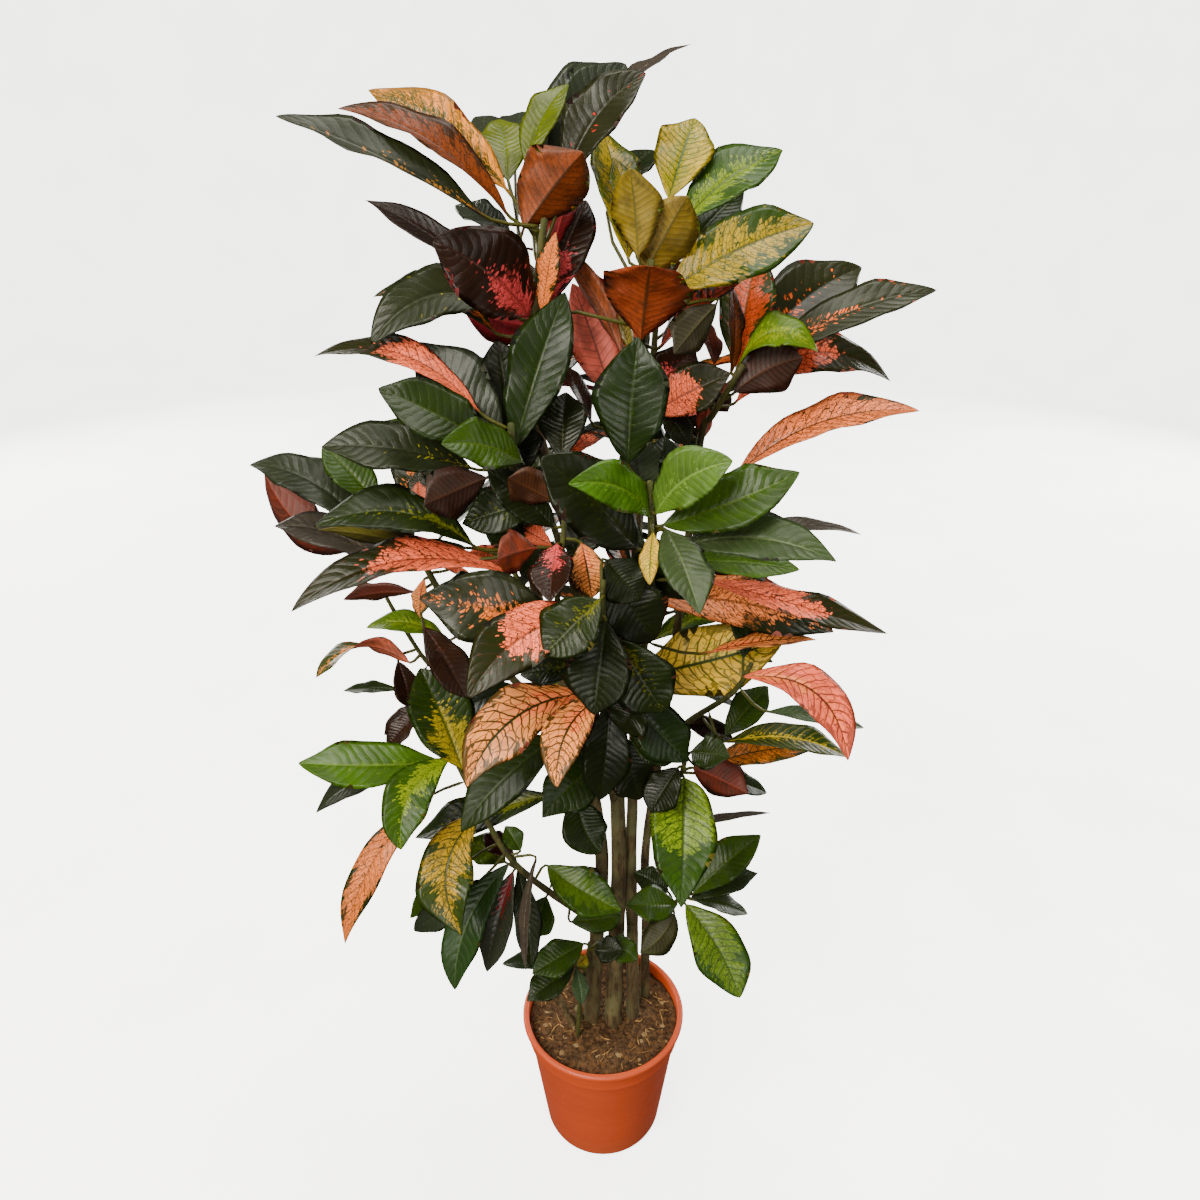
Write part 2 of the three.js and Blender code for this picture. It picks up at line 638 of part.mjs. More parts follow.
// The leaf that a row of the table states, with its root at the nearest free place of its shoot
function picturedLeaf(name, row, number) {
  const [tipX, tipY, neckX, neckY, wide, reach, roll, special] = row;
  const span = Math.hypot(tipX - neckX, tipY - neckY);
  const { root, distance } = nearestPlace(name, (point) => {
    const place = seen(point);
    const [right, down] = [place.x - neckX, place.y - neckY];
    const past = Math.max(0, (right * (tipX - neckX) + down * (tipY - neckY)) / span);
    return Math.hypot(right, down) + foldedBack * past;
  });
  const share = Math.min(0.5, distance / span);
  const rootDepth = seen(root).depth;
  return { ...usualLeaf, ...special, name, number, root, wide, roll,
    phase: (number * phaseShare) % 1,
    bent(step) {
      const [push, extraRoll] = step;
      const neckDepth = rootDepth + reach * share + neckPush * push;
      const neck = sighted(neckX, neckY, neckDepth);
      const tip = sighted(tipX, tipY, neckDepth + reach + (1 - neckPush) * push);
      const gaze = neck.clone().add(tip).multiplyScalar(0.5).sub(eye).normalize();
      return { ...this, neck, tip, gaze, roll: roll + extraRoll };
    } };
}

// The leaf that the spiral puts at one place of a shoot
function spiralLeaf(name, place, number) {
  const { count, from, start } = spirals[name];
  const share = (place + 0.5) / count;
  const wanted = curveOf(shoots[name]).getPoint(from + (1 - from) * share);
  const { root } = nearestPlace(name, (point) => point.distanceTo(wanted));
  const random = (number * sizeShare) % 1;
  const other = (number * widthShare) % 1;
  const length = hiddenLength[0] + hiddenLength[1] * random;
  return { ...usualLeaf, name, number, root,
    hidden: true,
    wide: hiddenWidth[0] + hiddenWidth[1] * other,
    arch: hiddenArch,
    phase: (number * phaseShare) % 1,
    bent(step) {
      const [push, extraRoll] = step;
      const azimuth = radians(start + goldenAngle * place + push);
      const rise = radians(THREE.MathUtils.lerp(...hiddenRise, share) + hiddenSway * push * (other - 0.5));
      const heading = new THREE.Vector3(
        Math.cos(azimuth) * Math.cos(rise), Math.sin(azimuth) * Math.cos(rise), Math.sin(rise));
      const neck = root.clone().addScaledVector(heading, hiddenPetiole * length);
      const tip = root.clone().addScaledVector(heading, (1 + hiddenPetiole) * length);
      tip.z -= hiddenDroop * length;
      const ownRoll = extraRoll + hiddenTurn * (random - 0.5);
      return { ...this, neck, tip, gaze: new THREE.Vector3(0, 0, -1), roll: ownRoll };
    } };
}

// A blade's outline as it is seen in the picture, and how far ahead it lies
function pictureOf(leaf) {
  const frame = frameOf(leaf);
  const left = [];
  const right = [];
  for (const share of outlineShares) {
    const { centre, wide, half } = stationOf(leaf, frame, share);
    left.push(seen(centre.clone().addScaledVector(wide, half)));
    right.unshift(seen(centre.addScaledVector(wide, -half)));
  }
  const outline = [...left, ...right];
  return { outline, depth: outline.reduce((sum, place) => sum + place.depth, 0) / outline.length };
}

function inside(outline, { x, y }) {
  let within = false;
  outline.forEach((corner, index) => {
    const next = outline[(index + 1) % outline.length];
    const crosses = (corner.y > y) !== (next.y > y);
    if (crosses && x < corner.x + ((y - corner.y) * (next.x - corner.x)) / (next.y - corner.y)) {
      within = !within;
    }
  });
  return within;
}

// Whether a hidden leaf lies behind leaves of the table wherever it could be seen from the front
function standsBehind(leaf, pictures) {
  const places = pictureOf(leaf).outline.filter((place, index) => index % 2 === 0);
  return places.every((place) => pictures.some(({ outline, depth }) => (
    depth < place.depth && inside(outline, place))));
}

// The bends that a leaf may take to clear its neighbours, the stated one first: a push away from the viewer,
// in part at the foot of the blade and the rest at its tip, and a turn round its midrib
const pushes = [0, 12, -12, 25, -25, 40, -40, 60, -60, 85, 110, 140];
const turns = [0, 16, -16];
const bends = pushes.flatMap((push) => turns.map((turn) => [push, turn]));

function overlaps(one, other) {
  const shared = one.intersect(other);
  const volume = shared.volume();
  shared.delete();
  return volume > 1e-6;
}

function boxesMeet(one, other) {
  return [0, 1, 2].every((axis) => one.min[axis] <= other.max[axis] && other.min[axis] <= one.max[axis]);
}

// Sets leaves one after another, the nearest to the viewer first. A leaf that would cross what stands
// already takes its next bend, and one with no clear bend may cross only its own stem's leaves.
function growLeaves(stemSolids) {
  const wanted = [];
  for (const [name, rows] of Object.entries(leaves)) {
    rows.forEach((row) => wanted.push(picturedLeaf(name, row, wanted.length)));
  }
  wanted.sort((one, other) => {
    const [near, far] = [one, other].map((leaf) => {
      const bent = leaf.bent([0, 0]);
      return seen(bent.neck.add(bent.tip).multiplyScalar(0.5)).depth;
    });
    return near - far;
  });
  let number = wanted.length;
  for (const [name, { count }] of Object.entries(spirals)) {
    for (let place = 0; place < count; place += 1) {
      wanted.push(spiralLeaf(name, place, number));
      number += 1;
    }
  }
  const stems = Object.entries(stemSolids).flatMap(([node, solids]) => solids.map((body) => (
    { node, body, box: body.boundingBox() })));
  const grown = [];
  const pictures = [];
  for (const leaf of wanted) {
    const node = shoots[leaf.name].stem;
    let fallback = null;
    let chosen = null;
    for (const bend of bends) {
      const bent = leaf.bent(bend);
      if (leaf.hidden && !standsBehind(bent, pictures)) {
        continue;
      }
      const whole = bladeSolid(bent, clearance, true);
      const blade = bladeSolid(bent, clearance, false);
      const wholeBox = whole.boundingBox();
      const foreign = [...grown, ...stems].some((near) => near.node !== node
        && boxesMeet(near.box, wholeBox) && overlaps(near.body, whole));
      const own = !foreign && [...grown, ...stems].some((near) => near.node === node
        && boxesMeet(near.box, wholeBox) && overlaps(near.body, blade));
      whole.delete();
      blade.delete();
      if (!foreign && !own) {
        chosen = bent;
        break;
      }
      if (!foreign && !fallback) {
        fallback = bent;
      }
    }
    const settled = chosen ?? (leaf.hidden ? null : fallback);
    if (settled) {
      const body = bladeSolid(settled, 0, true);
      grown.push({ node, leaf: settled, body, box: body.boundingBox(), clear: Boolean(chosen) });
      if (!leaf.hidden) {
        pictures.push(pictureOf(settled));
      }
    }
  }
  return grown;
}

// The foot of a stem, upright in the soil, and the hole that takes it
function footSolid({ x, y, radius }, margin, low, high) {
  const round = new THREE.CylinderGeometry(radius + margin, radius + margin, high - low, stemSides, 1);
  round.rotateX(Math.PI / 2);
  round.translate(x, y, (low + high) / 2);
  return solid(round);
}

function potSolid() {
  const inner = (radius) => radius - wallThickness;
  const profile = [
    [0, 0], [footRadius - footRound, 0], [footRadius - 2, 2], [footRadius, footRound],
    [wallRadius, bandFoot - 3], [bandRadius - 2, bandFoot], [bandRadius, rimHeight - lipHeight],
    [rimRadius - 1.5, rimHeight - lipHeight], [rimRadius, rimHeight - lipHeight + 2],
    [rimRadius, rimHeight - 2], [rimRadius - 2, rimHeight], [rimRadius - lipWidth + 2, rimHeight],
    [rimRadius - lipWidth, rimHeight - 2], [inner(bandRadius) - 2, bandFoot], [inner(wallRadius), bandFoot - 3],
    [inner(footRadius), floorThickness], [0, floorThickness],
  ].map(([radius, height]) => new THREE.Vector2(radius, height));
  const shell = new THREE.LatheGeometry(profile, potSides);
  shell.rotateX(Math.PI / 2);
  let pot = solid(shell);
  for (let i = 0; i < drainCount; i += 1) {
    const angle = (2 * Math.PI * (i + 0.5)) / drainCount;
    const drain = new THREE.CylinderGeometry(drainRadius, drainRadius, 4 * floorThickness, drainSides);
    drain.rotateX(Math.PI / 2);
    drain.translate(drainCircle * Math.cos(angle), drainCircle * Math.sin(angle), 0);
    pot = pot.subtract(solid(drain));
  }
  return pot;
}

function soilSolid() {
  const inner = (height) => {
    const share = (height - floorThickness) / (bandFoot - 3 - floorThickness);
    return THREE.MathUtils.lerp(footRadius, wallRadius, share) - wallThickness - seatGap;
  };
  const profile = [
    [0, floorThickness + seatGap], [inner(floorThickness), floorThickness + seatGap],
    [inner(bandFoot - 3), bandFoot - 3], [inner(bandFoot - 3) + 1, soilEdgeTop], [80, soilTop],
    [0, soilTop + 1],
  ].map(([radius, height]) => new THREE.Vector2(radius, height));
  const fill = new THREE.LatheGeometry(profile, potSides);
  fill.rotateX(Math.PI / 2);
  let soil = solid(fill);
  for (const foot of Object.values(feet)) {
    soil = soil.subtract(footSolid(foot, seatGap, buriedFoot - seatGap, footTop));
  }
  return soil;
}

function stubSolid(foot) {
  const base = new THREE.Vector3(foot.x, foot.y, curveStart);
  const top = new THREE.Vector3(...foot.top);
  const lean = stemAlong(new THREE.LineCurve3(base, top), [foot.radius - 0.2, foot.topRadius]);
  return footSolid(foot, 0, buriedFoot, footTop).add(lean);
}

// The largest body of a joined solid, without loose scraps or slivers
function mainBody(joined) {
  const [largest] = joined.simplify(finestDetail).decompose()
    .sort((one, other) => other.volume() - one.volume());
  return largest;
}

function meshOf(name, body, material) {
  const { vertProperties, triVerts } = body.getMesh();
  const geometry = new THREE.BufferGeometry();
  geometry.setAttribute("position", new THREE.BufferAttribute(vertProperties, 3));
  geometry.setIndex(new THREE.BufferAttribute(triVerts, 1));
  geometry.computeVertexNormals();
  const mesh = new THREE.Mesh(geometry, material);
  mesh.name = name;
  return mesh;
}

const potPlastic = new THREE.MeshStandardMaterial({ color: 0xc45420, roughness: 0.6, metalness: 0 });
const peat = new THREE.MeshStandardMaterial({ color: 0x3a2417, roughness: 1, metalness: 0 });
const foliage = new THREE.MeshStandardMaterial({ color: 0x3d5a1e, roughness: 0.4, metalness: 0 });
const bark = new THREE.MeshStandardMaterial({ color: 0x6e6242, roughness: 0.9, metalness: 0 });

const croton = new THREE.Group();
croton.add(meshOf("pot", potSolid(), potPlastic));
croton.add(meshOf("soil", soilSolid(), peat));

const stemSolids = {};
for (const [node, foot] of Object.entries(feet)) {
  if (!foot.top) {
    stemSolids[node] = [footSolid(foot, 0, buriedFoot, footTop)];
  }
}
for (const shoot of Object.values(shoots)) {
  stemSolids[shoot.stem].push(stemAlong(curveOf(shoot), shoot.thick));
}
for (const [node, foot] of Object.entries(feet)) {
  if (foot.top) {
    stemSolids[node] = [stubSolid(foot)];
  }
}

const grownLeaves = growLeaves(stemSolids);
for (const [node, solids] of Object.entries(stemSolids)) {
  const blades = grownLeaves.filter((leaf) => leaf.node === node).map((leaf) => leaf.body);
  const joined = mainBody(Manifold.union([...solids, ...blades]));
  croton.add(meshOf(node, joined, blades.length ? foliage : bark));
}

export default croton;
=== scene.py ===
import bmesh
import bpy
import math
import numpy as np
from mathutils import Matrix, Vector, kdtree, noise


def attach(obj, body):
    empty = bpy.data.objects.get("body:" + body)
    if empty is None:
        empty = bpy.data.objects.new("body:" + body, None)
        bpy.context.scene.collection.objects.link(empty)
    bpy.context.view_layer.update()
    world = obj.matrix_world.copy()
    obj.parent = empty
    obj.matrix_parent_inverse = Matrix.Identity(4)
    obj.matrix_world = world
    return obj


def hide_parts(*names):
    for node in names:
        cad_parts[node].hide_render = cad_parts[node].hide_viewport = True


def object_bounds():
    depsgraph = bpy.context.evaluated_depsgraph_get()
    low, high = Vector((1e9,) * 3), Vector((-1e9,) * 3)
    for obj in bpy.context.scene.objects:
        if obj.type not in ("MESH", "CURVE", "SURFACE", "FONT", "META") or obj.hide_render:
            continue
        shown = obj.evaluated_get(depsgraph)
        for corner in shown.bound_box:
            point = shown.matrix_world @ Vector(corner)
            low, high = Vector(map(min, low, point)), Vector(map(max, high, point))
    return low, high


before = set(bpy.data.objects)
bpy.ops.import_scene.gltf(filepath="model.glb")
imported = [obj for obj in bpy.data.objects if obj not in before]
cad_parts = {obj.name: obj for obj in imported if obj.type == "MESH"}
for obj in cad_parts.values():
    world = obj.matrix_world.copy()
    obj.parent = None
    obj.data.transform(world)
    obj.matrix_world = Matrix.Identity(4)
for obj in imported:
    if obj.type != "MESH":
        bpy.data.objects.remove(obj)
cad_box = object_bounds()

MM = 0.001
SEED = 7
GOLDEN_ANGLE = 137.508

# The solids' box in millimetres: no leaf reaches past it
BOX_LOW, BOX_HIGH = (np.array(corner) / MM for corner in cad_box)

# Steps that spread numbered leaves evenly between 0 and 1
PHASE_STEP = 0.618034
FIRST_STEP = 0.754878
SECOND_STEP = 0.56984
TIP_STEP = 0.438

# The camera stands where the photograph was taken from: places in the picture are sighted from it
EYE = np.array([0.0, -1133.0, 1577.0])
PITCH = math.radians(26.4)
FOCAL_PIXELS = 950.0
PICTURE_SIZE = 1200.0
PICTURE_CENTRE = (603.1, 600.0)
AHEAD = np.array([0.0, math.cos(PITCH), -math.sin(PITCH)])
OVERHEAD = np.array([0.0, math.sin(PITCH), math.cos(PITCH)])
SIDEWAYS = np.array([1.0, 0.0, 0.0])

# Sizes of the pot and the soil, in millimetres
RIM_RADIUS = 135
RIM_HEIGHT = 245
LIP_HEIGHT = 9
LIP_WIDTH = 10
BAND_RADIUS = 129
BAND_FOOT = 206
WALL_RADIUS = 123
FOOT_RADIUS = 99
FOOT_ROUND = 7
WALL_THICKNESS = 2.4
FLOOR_THICKNESS = 4
FLOOR_TOP = 6.5
BAND_TAPER = 2
DRAIN_COUNT = 8
DRAIN_RADIUS = 7
DRAIN_CIRCLE = 64
DRAIN_STEPS = 24
DRILL_LENGTH = 20
FOOT_RING_WIDTH = 16
FOOT_RING_HEIGHT = 3
POT_STEPS = 128
CORNER_RADIUS = 1.2
CORNER_SHARE = 0.45
CORNER_STEPS = 3
SOIL_TOP = 231
SOIL_EDGE_TOP = 226
SEAT_GAP = 0.35
BURIED_FOOT = 172

# Leaf blades, in millimetres, by the same rules as the solids
SOLID_ROWS = [0, 0.24, 0.5, 0.78, 1]
SMALL_SOLID_ROWS = [0, 0.32, 0.7, 1]
SMALL_BLADE = 46
BLADE_FULLNESS = 0.75
PETIOLE_RADIUS = 1.9
EDGE_LIFT = 0.045
EDGE_WAVES = 2.2
EDGE_LAG = 0.31
FOLD_EASING = 0.35
ROOT_GAP = 7
CURVE_STEPS = 200
STEM_STEP = 66
BARE_FOOT = 60
FOLDED_BACK = 3
LONGEST_ROOT_SHARE = 0.5
USUAL = {"fold": 14, "arch": 0.06, "sweep": 0, "twist": 0, "under": 0, "full": 0.55}

# Ways in which a solid leaf may have been bent to keep clear: how far it is pushed, and how it is turned
PUSHES = [0, 12, -12, 25, -25, 40, -40, 60, -60, 85, 110, 140]
TURNS = [0, 16, -16]
NECK_PUSH = 0.45
TIP_PUSH = 0.55

# How near a bent leaf's corners have to lie to those of its solid, and how many may do so by chance
NEARNESS = 0.8
CHANCE_HITS = 2

# Leaves on a spiral: millimetres, degrees, and shares of their own length
SPIRAL_LENGTH = 150
SPIRAL_LENGTH_SPREAD = 50
SPIRAL_WIDTH = 50
SPIRAL_WIDTH_SPREAD = 16
SPIRAL_ARCH = 0.09
SPIRAL_RISE = -8
SPIRAL_RISE_GAIN = 66
SPIRAL_RISE_PUSH = 0.4
SPIRAL_STALK = 0.17
SPIRAL_SAG = 0.12
SPIRAL_ROLL = 24

# The skeleton, by stem: each shoot's radius at its foot and at its top, and the points that it curves through
SHOOT_CURVES = {
    "stem_middle": {
        "top_left": ((15, 4), [(17, -15, 237), (21, -12, 420), (24, -10, 596), (10, -10, 850),
            (-40, -10, 1100), (-87, -20, 1289), (-77, -30, 1394), (-63, -40, 1490)]),
        "front": ((6, 3.5), [(16, -10, 690), (8, -100, 800), (2, -160, 920), (-3, -195, 1040),
            (0, -205, 1140)]),
        "pink_left": ((4.5, 3), [(2, -158, 915), (-50, -165, 1020), (-95, -155, 1110), (-107, -150, 1160)]),
        "inner": ((3.5, 3), [(-60, -164, 1035), (-48, -152, 1130), (-42, -140, 1205)]),
        "back_left": ((6, 3.5), [(-8, -10, 940), (-60, 80, 1060), (-100, 130, 1180), (-108, 145, 1270)]),
    },
    "stem_left": {
        "mid_left": ((13.5, 4), [(-19, -10, 237), (-10, -12, 420), (-2, -5, 590), (-30, -30, 800),
            (-70, -70, 1000), (-97, -115, 1180), (-100, -125, 1290)]),
        "left": ((6, 3.5), [(-33, -33, 820), (-120, -60, 930), (-200, -75, 1060), (-238, -86, 1170)]),
        "twisted": ((3.5, 2.6), [(-120, -60, 930), (-190, -45, 915), (-232, -40, 940), (-262, -58, 1020),
            (-272, -62, 1048)]),
        "low_left": ((6, 3), [(-9, -12, 450), (-70, -70, 560), (-126, -118, 672), (-165, -115, 760),
            (-201, -110, 855)]),
        "back_low_left": ((6, 3.5), [(-20, -20, 730), (-80, 60, 820), (-130, 110, 930), (-150, 125, 1010)]),
    },
    "stem_right": {
        "second": ((11, 4), [(50, -5, 237), (47, -2, 420), (43, 0, 587), (45, -5, 850), (42, -20, 1150),
            (42, -40, 1340), (52, -58, 1450)]),
        "centre": ((6, 3.5), [(45, -5, 840), (50, -80, 970), (55, -150, 1100), (50, -170, 1240)]),
        "back_top": ((6, 3.5), [(42, -16, 1080), (55, 70, 1200), (66, 115, 1320), (70, 130, 1400)]),
        "back_low": ((6, 3.5), [(44, 0, 680), (45, 90, 780), (50, 140, 880), (52, 155, 960)]),
    },
    "stem_far_right": {
        "right": ((8, 3.5), [(72, 38, 237), (70, 30, 420), (66, 15, 578), (85, 0, 800), (105, -10, 1050),
            (117, -20, 1238), (131, -30, 1276), (160, -42, 1335)]),
        "lower_right": ((5, 3), [(85, 0, 790), (125, -60, 870), (165, -110, 940), (182, -125, 990)]),
        "hanging": ((5, 3), [(75, 6, 690), (85, -80, 770), (98, -150, 840), (102, -168, 880)]),
        "low_right": ((4.5, 3), [(68, 28, 430), (95, -30, 500), (126, -88, 582)]),
        "back_right": ((5, 3.5), [(95, -5, 920), (115, 80, 1010), (122, 125, 1120), (124, 135, 1190)]),
    },
    "shoot_low": {
        "low": ((4, 2.6), [(-42, -42, 237), (-36, -48, 330), (-27, -58, 400), (-21, -60, 458)]),
    },
}

# The two stubs: where each stands, how thick it is, and where it was cut
STUBS = {
    "stub_left": {"foot": [-52, -22], "radius": 6, "top": [-76, -26, 306], "top_radius": 4.5},
    "stub_front": {"foot": [-40.5, -12], "radius": 6.6, "top": [-42, -15, 262], "top_radius": 6.2},
}

# Leaves that the picture doesn't show follow a spiral round these shoots
SPIRALS = {
    "back_left": {"count": 12, "from": 0.35, "start": 20},
    "back_low_left": {"count": 11, "from": 0.3, "start": 75},
    "back_top": {"count": 13, "from": 0.3, "start": 140},
    "back_low": {"count": 11, "from": 0.35, "start": 200},
    "back_right": {"count": 12, "from": 0.3, "start": 260},
    "top_left": {"count": 8, "from": 0.84, "start": 60},
    "second": {"count": 8, "from": 0.84, "start": 10},
    "right": {"count": 8, "from": 0.84, "start": 100},
    "left": {"count": 5, "from": 0.7, "start": 40},
    "lower_right": {"count": 4, "from": 0.6, "start": 30},
    "low_left": {"count": 4, "from": 0.6, "start": 80},
}

